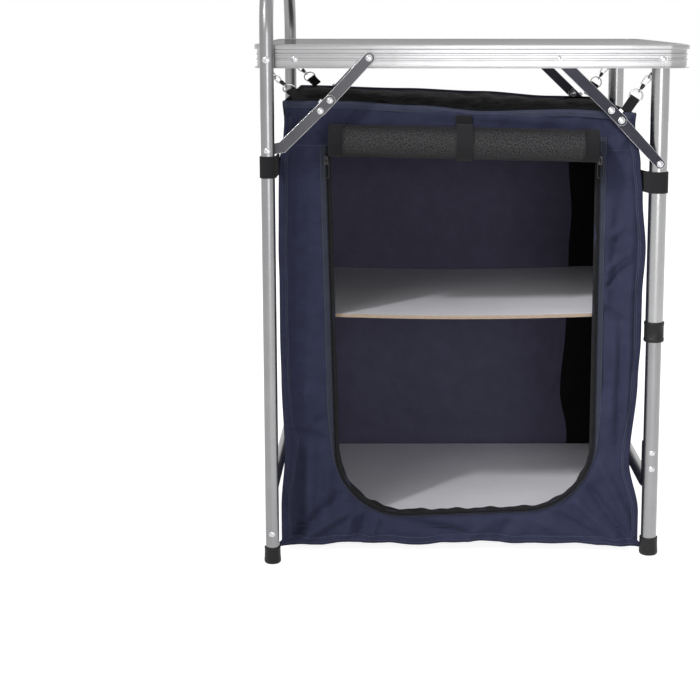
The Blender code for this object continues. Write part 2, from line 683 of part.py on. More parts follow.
def make_right_leg(side):
    """One upper tube with its collar, and one lower tube with its foot."""
    tag = "front" if side == FRONT else "rear"
    y = side * RIGHT_LEG_Y
    upper_bottom = COLLAR_BOTTOM + COLLAR_STEP + FIT
    path = [(RIGHT_LEG_X, y, upper_bottom), (RIGHT_LEG_X, y, UPPER_TOP)]
    upper = tube("right_upper_tube_" + tag, path, UPPER_RADIUS, ALUMINIUM, wall=UPPER_WALL)
    outside = RIGHT_LEG_Y + UPPER_RADIUS
    inside = RIGHT_LEG_Y - UPPER_RADIUS + RIVET_SEAT
    pieces = pivot(
        "right_pivot_" + tag, RIGHT_LEG_X, side,
        inside, RAIL_RIB_Y + FIT, outside - UPPER_WALL, RAIL_INNER_Y - FIT,
    )
    leg_rivet = rivet(
        "right_leg_rivet_" + tag, (RIGHT_LEG_X, side * inside, RIGHT_BRACE_LEG[1]), (0, side, 0),
        outside + LINK_THICKNESS + 2 * FIT - inside,
    )
    for piece in (*pieces, leg_rivet):
        fuse(upper, piece)

    wide = (UPPER_RADIUS + FIT) * FACET_EASE
    narrow = (LOWER_RADIUS + FIT) * FACET_EASE
    outer = wide + COLLAR_WALL
    profile = (
        (narrow, 0), (narrow, COLLAR_STEP), (wide, COLLAR_STEP), (wide, COLLAR_HEIGHT),
        (outer, COLLAR_HEIGHT), (outer, FOOT_FLARE), (outer - FOOT_FLARE, 0),
    )
    placing = Matrix.Translation((RIGHT_LEG_X, y, COLLAR_BOTTOM))
    turned("collar_" + tag, profile, ROUND_STEPS, placing, BLACK_PLASTIC, closed=True)

    path = [(RIGHT_LEG_X, y, FOOT_FLOOR + FIT), (RIGHT_LEG_X, y, LOWER_TOP)]
    lower = tube("right_lower_tube_" + tag, path, LOWER_RADIUS, ALUMINIUM, wall=LOWER_WALL)
    for number, height in enumerate(CROSS_BAR_RIVET_HEIGHTS):
        end = RIGHT_LEG_Y + LOWER_RADIUS - RIVET_SEAT
        start = CROSS_BAR_Y - CROSS_BAR_RADIUS - FIT
        name = "right_bar_rivet_%s_%d" % (tag, number)
        fuse(lower, rivet(name, (RIGHT_LEG_X, side * start, height), (0, side, 0), end - start))
    foot("right_foot_" + tag, RIGHT_LEG_X, y, LOWER_RADIUS, RIGHT_FOOT_HEIGHT)
    return upper


def make_right_legs():
    """Both right legs and the bent bar that joins their lower tubes."""
    uppers = {side: make_right_leg(side) for side in (FRONT, REAR)}
    top = CROSS_BAR_RIVET_HEIGHTS[0] + CROSS_BAR_END_REACH
    corners = [
        (RIGHT_LEG_X, -CROSS_BAR_Y, top), (RIGHT_LEG_X, -CROSS_BAR_Y, CROSS_BAR_HEIGHT),
        (RIGHT_LEG_X, CROSS_BAR_Y, CROSS_BAR_HEIGHT), (RIGHT_LEG_X, CROSS_BAR_Y, top),
    ]
    path = rounded(corners, [0, CROSS_BAR_BEND, CROSS_BAR_BEND, 0], CORNER_STEPS, closed=False)
    bar = tube("right_cross_bar", path, CROSS_BAR_RADIUS, ALUMINIUM)
    reach = CROSS_BAR_RADIUS + OVERRUN
    for side in (FRONT, REAR):
        for number, height in enumerate(CROSS_BAR_RIVET_HEIGHTS):
            start = (RIGHT_LEG_X, side * (CROSS_BAR_Y - reach), height)
            end = (RIGHT_LEG_X, side * (CROSS_BAR_Y + reach), height)
            name = "bar_hole_%d_%d" % (side, number)
            cut(bar, rod(name, start, end, RIVET_SHAFT + FIT, SMALL_STEPS, ALUMINIUM))
    return uppers


# Knee braces


def round_end(centre, arm, steps):
    """Half a circle round a centre, turning left from the arm."""
    points = []
    for k in range(steps + 1):
        angle = math.pi * k / steps
        cos, sin = math.cos(angle), math.sin(angle)
        points.append(centre + Vector((arm.x * cos - arm.y * sin, arm.x * sin + arm.y * cos, 0)))
    return points


def bar_outline(start, bend, end, half_width, end_half_width, steps):
    """Outline of a flat bar with round ends that bends at one point of its centre line."""
    first, last = (bend - start).normalized(), (end - bend).normalized()
    left_first = Vector((-first.y, first.x, 0))
    left_last = Vector((-last.y, last.x, 0))
    mitre = (left_first + left_last).normalized()
    reach = half_width / mitre.dot(left_first)
    points = round_end(start, left_first * half_width, steps)
    points.append(bend - mitre * reach)
    points += round_end(end, -left_last * end_half_width, steps)
    points.append(bend + mitre * reach)
    return points


def link(name, path, layer, side, holes, end_half_width=LINK_HALF_WIDTH):
    """One brace link along three points of the XZ plane; layer is its distance from the middle."""
    start, bend, end = (Vector((x, side * layer, z)) for x, z in path)
    placing = frame_at(start, bend - start, (0, side, 0))
    inverse = placing.inverted()
    outline = bar_outline(
        inverse @ start, inverse @ bend, inverse @ end, LINK_HALF_WIDTH, end_half_width, END_STEPS
    )
    openings = []
    for index, (x, z) in enumerate(holes):
        centre = inverse @ Vector((x, side * layer, z))
        openings.append(circle(RIVET_SHAFT + FIT, SMALL_STEPS, centre, index / len(holes)))
    return plate(name, outline, LINK_THICKNESS, placing, ALUMINIUM, openings)


def make_brace(hand, side):
    """A knee brace: an upper link on the rail, a lower link on the leg, and their rivets."""
    tag = "%s_%s" % (hand, "front" if side == FRONT else "rear")
    left = hand == "left"
    rail_at = LEFT_BRACE_RAIL if left else RIGHT_BRACE_RAIL
    knee_at = LEFT_BRACE_KNEE if left else RIGHT_BRACE_KNEE
    leg_at = LEFT_BRACE_LEG if left else RIGHT_BRACE_LEG
    bend_at = LEFT_BRACE_BEND if left else tuple((Vector(knee_at) + Vector(leg_at)) / 2)
    step = LINK_THICKNESS + FIT
    half = LINK_THICKNESS / 2
    near_rail = WORKTOP_DEPTH / 2 + FIT + half if left else RAIL_INNER_Y - FIT - half
    near_leg = near_rail + step if left else near_rail - step
    upper_length = (Vector(knee_at) - Vector(rail_at)).length
    stop_share = 1 + LINK_TAIL / upper_length
    stop_at = tuple(Vector(rail_at) + (Vector(knee_at) - Vector(rail_at)) * stop_share)
    upper = link(
        "brace_upper_" + tag, (rail_at, knee_at, stop_at), near_rail, side,
        (knee_at, stop_at) if left else (),
    )
    lower = link(
        "brace_lower_" + tag, (knee_at, bend_at, leg_at), near_leg, side,
        (leg_at,) if left else (knee_at, stop_at, leg_at), BRACE_LEG_HALF_WIDTH,
    )

    foot_y = RAIL_INNER_Y - FIT if left else near_rail - half + FIT
    head_y = near_rail + half - FIT if left else RAIL_RIB_Y + FIT
    fuse(upper, rivet("rail_pin_" + tag, (rail_at[0], side * foot_y, rail_at[1]), (0, side, 0),
                      head_y - foot_y))
    carrier = lower if left else upper
    low, high = sorted((near_rail, near_leg))
    foot_y = low - half - FIT
    head_y = high + half - FIT
    for name, place in (("knee_pin_", knee_at), ("stop_pin_", stop_at)):
        fuse(carrier, rivet(name + tag, (place[0], side * foot_y, place[1]), (0, side, 0),
                            head_y - foot_y))
    fuse(upper, stop_lug(tag, rail_at, knee_at, bend_at, side * near_rail, side if left else -side))


def stop_lug(tag, rail_at, knee_at, bend_at, y, toward):
    """A bent lug on the upper link's top edge, past the knee, that the lower link comes up against."""
    rail_end, knee, bend = (Vector((x, y, z)) for x, z in (rail_at, knee_at, bend_at))
    along = (knee - rail_end).normalized()
    across = Vector((-along.z, 0, along.x))
    if across.z < 0:
        across = -across
    clear = LINK_TAIL * math.sin(along.angle(bend - knee)) + FIT
    half = LINK_THICKNESS / 2
    root = LINK_HALF_WIDTH - RIVET_SEAT
    face = LINK_HALF_WIDTH + clear
    back = face + LUG_THICKNESS
    skin, tip = half - FIT, half + FIT + LINK_THICKNESS
    section = [
        (root, -skin, 0), (back, -skin, 0), (back, tip, 0),
        (face, tip, 0), (face, skin, 0), (root, skin, 0),
    ]
    outward = Vector((0, toward, 0))
    placing = frame_at(knee + along * LINK_TAIL / 2, across, across.cross(outward))
    return plate("stop_lug_" + tag, section, LUG_LENGTH, placing, ALUMINIUM)


# Cloth walls


def height_at(u, share, rear=False):
    """Height of a wall at a share of the width and a share of its own height."""
    hem = CUPBOARD_BOTTOM + HEM_RISE * lookup(HEM_SHARES, u)
    top = CUPBOARD_TOP - TOP_DROP * lookup(REAR_TOP_SHARES if rear else TOP_EDGE_SHARES, u)
    return hem + (top - hem) * share


def row_height(row):
    """Height of one row of the side walls' facets."""
    return CUPBOARD_BOTTOM + (CUPBOARD_TOP - CUPBOARD_BOTTOM) * row / SIDE_PANEL_CELLS[1]


def sway(table, z):
    """Sway of a side wall at a height, straight between the rows of its facets."""
    rows = SIDE_PANEL_CELLS[1]
    share = (z - CUPBOARD_BOTTOM) / (CUPBOARD_TOP - CUPBOARD_BOTTOM)
    row = min(max(int(share * rows), 0), rows - 1)
    low, high = lookup(table, row / rows), lookup(table, (row + 1) / rows)
    return EDGE_SWAY * (low + (high - low) * (share * rows - row))


def left_edge(z):
    """X of the left wall's middle surface at a height."""
    return -CUPBOARD_LEFT - sway(LEFT_EDGE_SHARES, z)


def right_edge(z):
    """X of the right wall's middle surface at a height."""
    return CUPBOARD_RIGHT + sway(RIGHT_EDGE_SHARES, z)


def edge_places(edge, low, high):
    """X of a side wall at two heights and at each row of its facets between them."""
    rows = [row_height(row) for row in range(SIDE_PANEL_CELLS[1] + 1)]
    return [edge(z) for z in [low, high] + [z for z in rows if low < z < high]]


def opening_corners(margin):
    """Corners of the door opening, moved outward by a margin."""
    return [
        (OPENING_LEFT_TOP - margin, OPENING_TOP + margin, 0),
        (OPENING_LEFT_BOTTOM - margin, OPENING_BOTTOM_LEFT - margin, 0),
        (OPENING_RIGHT + margin, OPENING_BOTTOM_RIGHT - margin, 0),
        (OPENING_RIGHT + margin, OPENING_TOP + margin, 0),
    ]


def opening_outline(margin):
    """The door opening's outline in the front wall's plane, as (x, z, 0)."""
    radii = [OPENING_TOP_RADIUS, OPENING_RADIUS + margin, OPENING_RADIUS + margin, OPENING_TOP_RADIUS]
    return rounded(opening_corners(margin), radii, END_STEPS, closed=True)


def zip_outline():
    """The zip's line: down the left, round the bottom and up the right, as (x, z)."""
    top_left, low_left, low_right, top_right = (Vector(p) for p in opening_corners(ZIP_EDGE))
    share = (top_left.y - ZIP_TOP) / (top_left.y - low_left.y)
    first = top_left.lerp(low_left, share)
    last = Vector((top_right.x, ZIP_TOP, 0))
    radius = OPENING_RADIUS + ZIP_EDGE
    return rounded([first, low_left, low_right, last], [0, radius, radius, 0], END_STEPS, closed=False)


ZIP_LINE = zip_outline()


def distance_to_zip(x, z):
    """Distance in the front wall's plane from a point to the zip."""
    here = Vector((x, z, 0))
    best = CUPBOARD_TOP
    for first, second in zip(ZIP_LINE, ZIP_LINE[1:]):
        along = second - first
        share = min(max((here - first).dot(along) / along.length_squared, 0), 1)
        best = min(best, (here - first - along * share).length)
    return best


def wave(u, v, waves):
    """A fold pattern between 0 and 1: crests across, leaning with height."""
    crests, lean, phase = waves
    return 0.5 + 0.5 * math.cos(2 * math.pi * (crests * u + lean * v + phase))


def front_surface(u, v):
    """Middle surface of the front wall."""
    z = height_at(u, v)
    x = left_edge(z) + (right_edge(z) - left_edge(z)) * u
    width = right_edge(z) - left_edge(z)
    seam = min(u, 1 - u) * width
    calm = fade(seam - SEAM_FLAT) * fade(distance_to_zip(x, z) - ZIP_EDGE * 2)
    in_door = OPENING_LEFT_TOP < x < OPENING_RIGHT and z > OPENING_BOTTOM_LEFT
    fold = 0 if in_door else FRONT_FOLD * calm * wave(u, v, FRONT_WAVES)
    below = max(0, 1 - z / (OPENING_BOTTOM_LEFT - 3 * ZIP_EDGE))
    flare = HEM_FLARE * fade(seam - SEAM_FLAT) * below * wave(u, v, FLARE_WAVES)
    return Vector((x, -CUPBOARD_FRONT - fold - flare, z))


def back_surface(u, v):
    """Middle surface of the back wall."""
    z = height_at(u, v, rear=True)
    width = right_edge(z) - left_edge(z)
    x = left_edge(z) + width * u
    calm = fade(min(u, 1 - u) * width - SEAM_FLAT) * board_calm(z)
    return Vector((x, CUPBOARD_BACK - BACK_FOLD * calm * wave(u, v, BACK_WAVES), z))


def board_calm(z):
    """0 where a board or a strap stretches the cloth, 1 between them."""
    heights = (FLOOR_BOARD_TOP, SHELF_TOP, LEFT_STRAP_HEIGHT, CUPBOARD_TOP)
    row = (CUPBOARD_TOP - CUPBOARD_BOTTOM) / min(SIDE_PANEL_CELLS[1], BACK_PANEL_CELLS[1])
    return min(fade(abs(z - height) - row) for height in heights)


def side_surface(edge, inward, u, v):
    """Middle surface of a side wall; u runs from the front wall to the back wall."""
    inset = CLOTH / 2 + FIT
    front, back = -CUPBOARD_FRONT + inset, CUPBOARD_BACK - inset
    y = front + (back - front) * u
    across = 0 if inward > 0 else 1
    low = height_at(across, 0)
    high = height_at(across, 1) * (1 - u) + height_at(across, 1, rear=True) * u
    row = round(v * SIDE_PANEL_CELLS[1])
    z = low if row == 0 else high if row == SIDE_PANEL_CELLS[1] else row_height(row)
    depth = SIDE_FOLD * fade(min(u, 1 - u) * (back - front) - SEAM_FLAT) * board_calm(z)
    return Vector((edge(z) + inward * depth * wave(u, v, SIDE_WAVES), y, z))


def cloth_panel(name, surface_at, cells, surface):
    """A cloth wall with a thickness, from a grid laid over a surface."""
    bm = bmesh.new()
    bmesh.ops.create_grid(bm, x_segments=cells[0], y_segments=cells[1], size=UNIT / 2)
    for vert in bm.verts:
        vert.co = surface_at(near_seams(vert.co.x + UNIT / 2), vert.co.y + UNIT / 2)
    bmesh.ops.recalc_face_normals(bm, faces=bm.faces)
    obj = mesh_object(name, bm, surface)
    shell = obj.modifiers.new("thickness", "SOLIDIFY")
    shell.thickness = CLOTH
    shell.offset = 0
    return obj


def make_front_panel():
    """The front wall with its door opening."""
    panel = cloth_panel("front_panel", front_surface, FRONT_PANEL_CELLS, NAVY_CLOTH)
    placing = frame_at((0, -CUPBOARD_FRONT, 0), (1, 0, 0), (0, -1, 0))
    cutter = plate("door_opening", opening_outline(0), 2 * ROLL_RADIUS, placing, NAVY_CLOTH)
    cut(panel, cutter)


def top_surface(u, v):
    """Middle surface of the top panel, a little below the top edges of the walls."""
    inset = CLOTH / 2 + FIT
    front, back = -CUPBOARD_FRONT + inset, CUPBOARD_BACK - inset
    y = front + (back - front) * v
    z = height_at(u, 1) * (1 - v) + height_at(u, 1, rear=True) * v - TOP_PANEL_SINK
    z -= TOP_PANEL_SAG * math.sin(math.pi * u) * math.sin(math.pi * v)
    margin = CLOTH / 2 + 2 * FIT
    low, high = left_edge(z) + margin, right_edge(z) - margin
    return Vector((low + (high - low) * u, y, z))


def make_side_ledge(name, x_outer, x_inner):
    """A folded strip of cloth on a side wall that carries the middle shelf."""
    inset = CLOTH / 2 + SHELF_FRONT_SETBACK
    depth = CUPBOARD_FRONT + CUPBOARD_BACK - 2 * inset
    middle = (CUPBOARD_BACK - CUPBOARD_FRONT) / 2
    station = (CUPBOARD_LEFT + CUPBOARD_RIGHT) / ROUND_STEPS
    bow = SHELF_SAG * math.sin(math.pi / ROUND_STEPS) * LEDGE_REACH / station
    top = SHELF_TOP - SHELF_THICKNESS - bow - FIT
    placing = Matrix.Translation(((x_outer + x_inner) / 2, middle, top - CLOTH / 2))
    return block(name, (abs(x_inner - x_outer), depth, CLOTH), placing, NAVY_CLOTH)


def make_cloth():
    """Walls, floor and top of the cupboard."""
    make_front_panel()
    cloth_panel("back_panel", back_surface, BACK_PANEL_CELLS, NAVY_CLOTH)
    left = cloth_panel(
        "left_panel", lambda u, v: side_surface(left_edge, 1, u, v), SIDE_PANEL_CELLS, NAVY_CLOTH
    )
    right = cloth_panel(
        "right_panel", lambda u, v: side_surface(right_edge, -1, u, v), SIDE_PANEL_CELLS, NAVY_CLOTH
    )
    x_left, x_right = left_edge(SHELF_TOP), right_edge(SHELF_TOP)
    fuse(left, make_side_ledge("left_ledge", x_left, x_left + LEDGE_REACH))
    fuse(right, make_side_ledge("right_ledge", x_right, x_right - LEDGE_REACH))
    cloth_panel("top_panel", top_surface, TOP_PANEL_CELLS, BLACK_CLOTH)


# Boards


def board(name, top, thickness, sag, surface, stations):
    """A board between the side walls, bowed down in the middle by its sag."""
    bottom = top - thickness
    clear = CLOTH / 2 + FIT
    low = max(edge_places(left_edge, bottom, top)) + clear
    high = min(edge_places(right_edge, bottom, top)) - clear
    front = -CUPBOARD_FRONT + CLOTH / 2 + SHELF_FRONT_SETBACK
    back = CUPBOARD_BACK - clear
    bow = [(k / stations, -sag * math.sin(math.pi * k / stations)) for k in range(stations + 1)]
    outline = [(low + (high - low) * share, top + drop, 0) for share, drop in bow]
    outline += [(low + (high - low) * share, bottom + drop, 0) for share, drop in reversed(bow)]
    placing = frame_at((0, (front + back) / 2, 0), (1, 0, 0), (0, -1, 0))
    return plate(name, outline, back - front, placing, surface)


def make_boards():
    """The middle shelf, the floor board and the cloth floor under it."""
    board("middle_shelf", SHELF_TOP, SHELF_THICKNESS, SHELF_SAG, WHITE_BOARD, ROUND_STEPS)
    board("floor_board", FLOOR_BOARD_TOP, FLOOR_BOARD_THICKNESS, 0, WHITE_BOARD, 1)
    top = FLOOR_BOARD_TOP - FLOOR_BOARD_THICKNESS - FIT
    clear = CLOTH / 2 + FIT
    low = max(edge_places(left_edge, top - CLOTH, top)) + clear
    high = min(edge_places(right_edge, top - CLOTH, top)) - clear
    front, back = -CUPBOARD_FRONT + clear, CUPBOARD_BACK - clear
    placing = Matrix.Translation(((low + high) / 2, (front + back) / 2, top - CLOTH / 2))
    block("floor_panel", (high - low, back - front, CLOTH), placing, NAVY_CLOTH)


# Zip and rolled door


def make_zip():
    """The zip's coil on the front wall, with a slider and a pull at the top of each side."""
    path = [(p.x, ZIP_Y, p.y) for p in ZIP_LINE]
    tube("zip_coil", path, ZIP_RADIUS, ZIP_COIL, resolution=1)
    for hand, first, second in (
        ("left", ZIP_LINE[0], ZIP_LINE[1]), ("right", ZIP_LINE[-1], ZIP_LINE[-2]),
    ):
        down = Vector((second.x - first.x, 0, second.y - first.y)).normalized()
        middle = Vector((first.x, ZIP_Y, first.y)) + down * SLIDER_START_DROP
        make_slider(hand, middle, down)


def make_slider(hand, middle, down):
    """A zip slider that straddles the coil, and the wire pull that hangs from its arch."""
    channel = ZIP_RADIUS + FIT
    rise = channel + SLIDER_WALL
    skirt = -ZIP_RADIUS
    outline = [
        (-SLIDER_HALF_WIDTH, skirt), (-channel, skirt), (-channel, channel), (channel, channel),
        (channel, skirt), (SLIDER_HALF_WIDTH, skirt), (SLIDER_HALF_WIDTH, rise), (-SLIDER_HALF_WIDTH, rise),
    ]
    across = Vector((0, -1, 0)).cross(down)
    placing = frame_at(middle, across, -down)
    outline = [(x, y if placing.col[1].y < 0 else -y, 0) for x, y in outline]
    slider = plate("zip_slider_" + hand, outline, SLIDER_LENGTH, placing, STEEL)

    surface_y = middle.y - rise
    up = -down
    out = Vector((0, -1, 0))
    root = Vector((middle.x, surface_y, middle.z))
    inside = SLIDER_WALL / 2
    arch = [
        root + up * SLIDER_ARCH_HALF - out * inside, root + up * SLIDER_ARCH_HALF + out * SLIDER_ARCH_RISE,
        root - up * SLIDER_ARCH_HALF + out * SLIDER_ARCH_RISE, root - up * SLIDER_ARCH_HALF - out * inside,
    ]
    bend = SLIDER_ARCH_RISE / 2
    arch = rounded(arch, [0, bend, bend, 0], 3, closed=False)
    fuse(slider, tube("slider_arch_" + hand, arch, SLIDER_ARCH_WIRE, STEEL, resolution=WIRE_RESOLUTION))

    axis = root + out * (SLIDER_ARCH_RISE - SLIDER_ARCH_WIRE - PULL_WIRE) / 2
    side = Vector((1, 0, 0))
    low = Vector((0, 0, -1)) * PULL_LENGTH
    corners = [
        axis - side * PULL_HALF_WIDTH, axis + side * PULL_HALF_WIDTH,
        axis + side * PULL_HALF_WIDTH + low, axis - side * PULL_HALF_WIDTH + low,
    ]
    loop = rounded(corners, [PULL_WIRE * 2] * 2 + [PULL_CORNER] * 2, 4, closed=True)
    tube("zip_pull_" + hand, loop, PULL_WIRE, STEEL, resolution=WIRE_RESOLUTION, cyclic=True)


def band_outline(inner, thickness, tail, steps):
    """A band round a circle with a tail that leaves it along +X at its top side, and its hole."""
    outer = inner + thickness
    step_off = math.sqrt(outer * outer - inner * inner)
    start = math.atan2(inner, step_off)
    points = [(0, outer, 0), (tail, outer, 0), (tail, inner, 0)]
    sweep = start + 3 * math.pi / 2
    for k in range(steps):
        angle = start - sweep * k / steps
        points.append((outer * math.cos(angle), outer * math.sin(angle), 0))
    return points, circle(inner, steps)


def make_roll():
    """The rolled-up door, a snail-shaped roll, and the strap that holds it."""
    points = []
    for k in range(ROLL_STEPS + 1):
        share = k / ROLL_STEPS
        radius = ROLL_RADIUS - ROLL_STEP * share
        angle = -2 * math.pi * share
        points.append((radius * math.cos(angle), radius * math.sin(angle), 0))
    left = Vector((ROLL_LEFT, ROLL_Y, ROLL_HEIGHT_LEFT))
    right = Vector((ROLL_RIGHT, ROLL_Y, ROLL_HEIGHT_RIGHT))
    placing = frame_at((left + right) / 2, (0, 1, 0), right - left)
    length = (right - left).length
    core = circle(ROLL_CORE, SMALL_STEPS)
    plate("rolled_door", points, length, placing, BLACK_CLOTH, [core])

    along = (right - left).normalized()
    centre = (left + right) / 2 + along * ROLL_STRAP_OFFSET
    outline, hole = band_outline(
        ROLL_RADIUS + FIT, ROLL_STRAP_THICKNESS, ROLL_RADIUS + ROLL_STRAP_REACH, ROLL_STEPS
    )
    placing = frame_at(centre, (0, 0, 1), along)
    if placing.col[1].y < 0:
        placing = frame_at(centre, (0, 0, 1), -along)
    plate("roll_strap", outline, ROLL_STRAP_WIDTH, placing, WEBBING, [hole])


# Straps round the legs


def make_leg_strap(name, centre, radius, target, mirrored):
    """A webbing strap round a leg with its tail drawn to a point on the cloth."""
    inner = (radius + FIT) * FACET_EASE
    outer = inner + STRAP_THICKNESS
    away = Vector(target) - Vector(centre)
    flat = Vector((away.x, away.y, 0))
    tail = math.sqrt(flat.length_squared - outer * outer)
    lean = math.asin(outer / flat.length)
    turn = Matrix.Rotation(lean if mirrored else -lean, 3, "Z")
    x_dir = turn @ flat
    outline, hole = band_outline(inner, STRAP_THICKNESS, tail, ROUND_STEPS)
    if mirrored:
        outline = [(x, -y, 0) for x, y, _ in reversed(outline)]
        hole = [(p.x, -p.y, 0) for p in reversed(hole)]
    placing = frame_at(centre, x_dir, (0, 0, 1))
    plate(name, outline, STRAP_WIDTH, placing, WEBBING, [hole])


def make_leg_straps():
    """Four straps, two on the hoop and two on the right upper tubes."""
    for side in (FRONT, REAR):
        tag = "front" if side == FRONT else "rear"
        end_y = CUPBOARD_FRONT - STRAP_END_SETBACK
        gap = CLOTH / 2 + FIT
        half = STRAP_WIDTH / 2
        wall = min(edge_places(left_edge, LEFT_STRAP_HEIGHT - half, LEFT_STRAP_HEIGHT + half))
        target = (wall - gap, side * end_y, LEFT_STRAP_HEIGHT)
        centre = (HOOP_X, side * LEFT_LEG_Y, LEFT_STRAP_HEIGHT)
        make_leg_strap("leg_strap_left_" + tag, centre, HOOP_RADIUS, target, side == FRONT)
        wall = max(edge_places(right_edge, RIGHT_STRAP_HEIGHT - half, RIGHT_STRAP_HEIGHT + half))
        target = (wall + gap, side * end_y, RIGHT_STRAP_HEIGHT)
        centre = (RIGHT_LEG_X, side * RIGHT_LEG_Y, RIGHT_STRAP_HEIGHT)
        make_leg_strap("leg_strap_right_" + tag, centre, UPPER_RADIUS, target, side == REAR)


# Hooks


def ring(name, centre, radius, wire, x_dir, y_dir, steps, surface, resolution=WIRE_RESOLUTION):
    """A closed ring of wire in the plane of two directions."""
    turn = 2 * math.pi / steps
    points = [
        centre + x_dir * radius * math.cos(turn * k) + y_dir * radius * math.sin(turn * k)
        for k in range(steps)
    ]
    return tube(name, points, wire, surface, resolution=resolution, cyclic=True)


def make_hook(tag, leg, leg_centre, leg_radius, target):
    """One corner's hanging gear: leg eye, snap hook, gate, ring and webbing tab."""
    heading = Vector((target.x - leg_centre.x, target.y - leg_centre.y, 0)).normalized()
    start = leg_centre + heading * leg_radius
    along = (target - start).normalized()
    across = (Vector((1, 0, 0)) - along * along.x).normalized()
    normal = along.cross(across)

    def at(distance, side=0, rise=0):
        """A point along the hook's line."""
        return start + along * distance + across * side + normal * rise

    eye_centre = EYE_RING - EYE_WIRE
    fuse(leg, ring("leg_eye_" + tag, at(eye_centre), EYE_RING, EYE_WIRE, along, normal, RING_STEPS, STEEL))

    bow_start = eye_centre + EYE_RING - EYE_WIRE - HOOK_WIRE - FIT
    bow_end = bow_start + HOOK_BOW_LENGTH
    half = HOOK_BOW_HALF_WIDTH
    bow = [
        at(bow_start + half, half), at(bow_start, half), at(bow_start, -half),
        at(bow_end, -half), at(bow_end, 0), at(bow_end + HOOK_WIRE, 0),
    ]
    bend = half - GATE_GAP
    bow = rounded(bow, [0, bend, bend, bend / 2, 0, 0], 4, closed=False)
    hook = tube("snap_hook_" + tag, bow[:-1], HOOK_WIRE, STEEL, resolution=WIRE_RESOLUTION)
    barrel_start = bow_end - HOOK_WIRE * 2
    barrel_end = barrel_start + HOOK_BARREL_LENGTH
    barrel = rod(
        "barrel_" + tag, at(barrel_start), at(barrel_end), HOOK_BARREL_RADIUS, SMALL_STEPS, STEEL
    )
    fuse(hook, barrel)
    swivel_centre = barrel_end + HOOK_SWIVEL_RING - EYE_WIRE / 2
    swivel = ring(
        "swivel_" + tag, at(swivel_centre), HOOK_SWIVEL_RING, EYE_WIRE, along, normal, RING_STEPS, STEEL
    )
    fuse(hook, swivel)

    gate = [
        at(bow_start + half + GATE_GAP, half), at(barrel_start - GATE_GAP, HOOK_BARREL_RADIUS - GATE_WIRE),
    ]
    tube("hook_gate_" + tag, gate, GATE_WIRE, STEEL, resolution=WIRE_RESOLUTION)
    ring_near = swivel_centre + HOOK_SWIVEL_RING - EYE_WIRE - RING_WIRE - FIT
    ring_centre = ring_near + RING_RADIUS
    ring("tab_ring_" + tag, at(ring_centre), RING_RADIUS, RING_WIRE, along, across, ROUND_STEPS, STEEL)

    half_tab = TAB_WIDTH / 2
    inside = (RING_RADIUS - RING_WIRE) / FACET_EASE - FIT
    slot_start = ring_centre + math.sqrt(max(inside ** 2 - half_tab ** 2, 0))
    slot_end = ring_centre + RING_RADIUS + RING_WIRE + FIT
    nose = slot_start - TAB_NOSE
    reach = (target - start).length
    lean = along.x / across.x
    section = [
        at(nose, -half_tab), at(nose, half_tab),
        at(reach + half_tab * lean, half_tab), at(reach - half_tab * lean, -half_tab),
    ]
    placing = frame_at(at(0), along, normal)
    inverse = placing.inverted()
    outline = [inverse @ p for p in section]
    tab = plate("webbing_tab_" + tag, outline, TAB_THICKNESS, placing, WEBBING)
    slot = block(
        "tab_slot_" + tag, (slot_end - slot_start, TAB_WIDTH + OVERRUN, TAB_SLOT_HEIGHT),
        frame_at(at((slot_start + slot_end) / 2), along, normal), WEBBING,
    )
    cut(tab, slot)


def make_hooks(hoop, uppers):
    """The hanging gear at the four top corners of the cupboard."""
    for side in (FRONT, REAR):
        tag = "front" if side == FRONT else "rear"
        wall_y = -CUPBOARD_FRONT if side == FRONT else CUPBOARD_BACK
        rear = side == REAR
        for hand, leg, leg_x, leg_y, radius, inset in (
            ("left", hoop, HOOP_X, LEFT_LEG_Y, HOOP_RADIUS, LEFT_TAB_INSET),
            ("right", uppers[side], RIGHT_LEG_X, RIGHT_LEG_Y, UPPER_RADIUS, RIGHT_TAB_INSET),
        ):
            width = CUPBOARD_LEFT + CUPBOARD_RIGHT
            share = inset / width if hand == "left" else 1 - inset / width
            x = -CUPBOARD_LEFT + width * share
            top = height_at(share, 1, rear)
            target = Vector((x, wall_y, top + FIT + CLOTH))
            centre = Vector((leg_x, side * leg_y, EYE_HEIGHT))
            make_hook("%s_%s" % (hand, tag), leg, centre, radius, target)


def build():
    """Build every piece."""
    make_worktop()
    hoop = make_left_legs()
    uppers = make_right_legs()
    for hand in ("left", "right"):
        for side in (FRONT, REAR):
            make_brace(hand, side)
    make_cloth()
    make_boards()
    make_zip()
    make_roll()
    make_leg_straps()
    make_hooks(hoop, uppers)
    bpy.context.view_layer.update()


build()
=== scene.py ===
"""Looks of the fabric camp kitchen cupboard: cloth, webbing, bent tube, rail, braces and small hardware.

Metres, +Z up, X to the right, Y to the back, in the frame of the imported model. The sizes that repeat
the model's own keep its names.
"""

import math
from functools import partial

import bmesh
import bpy
from mathutils import Matrix, Vector, noise


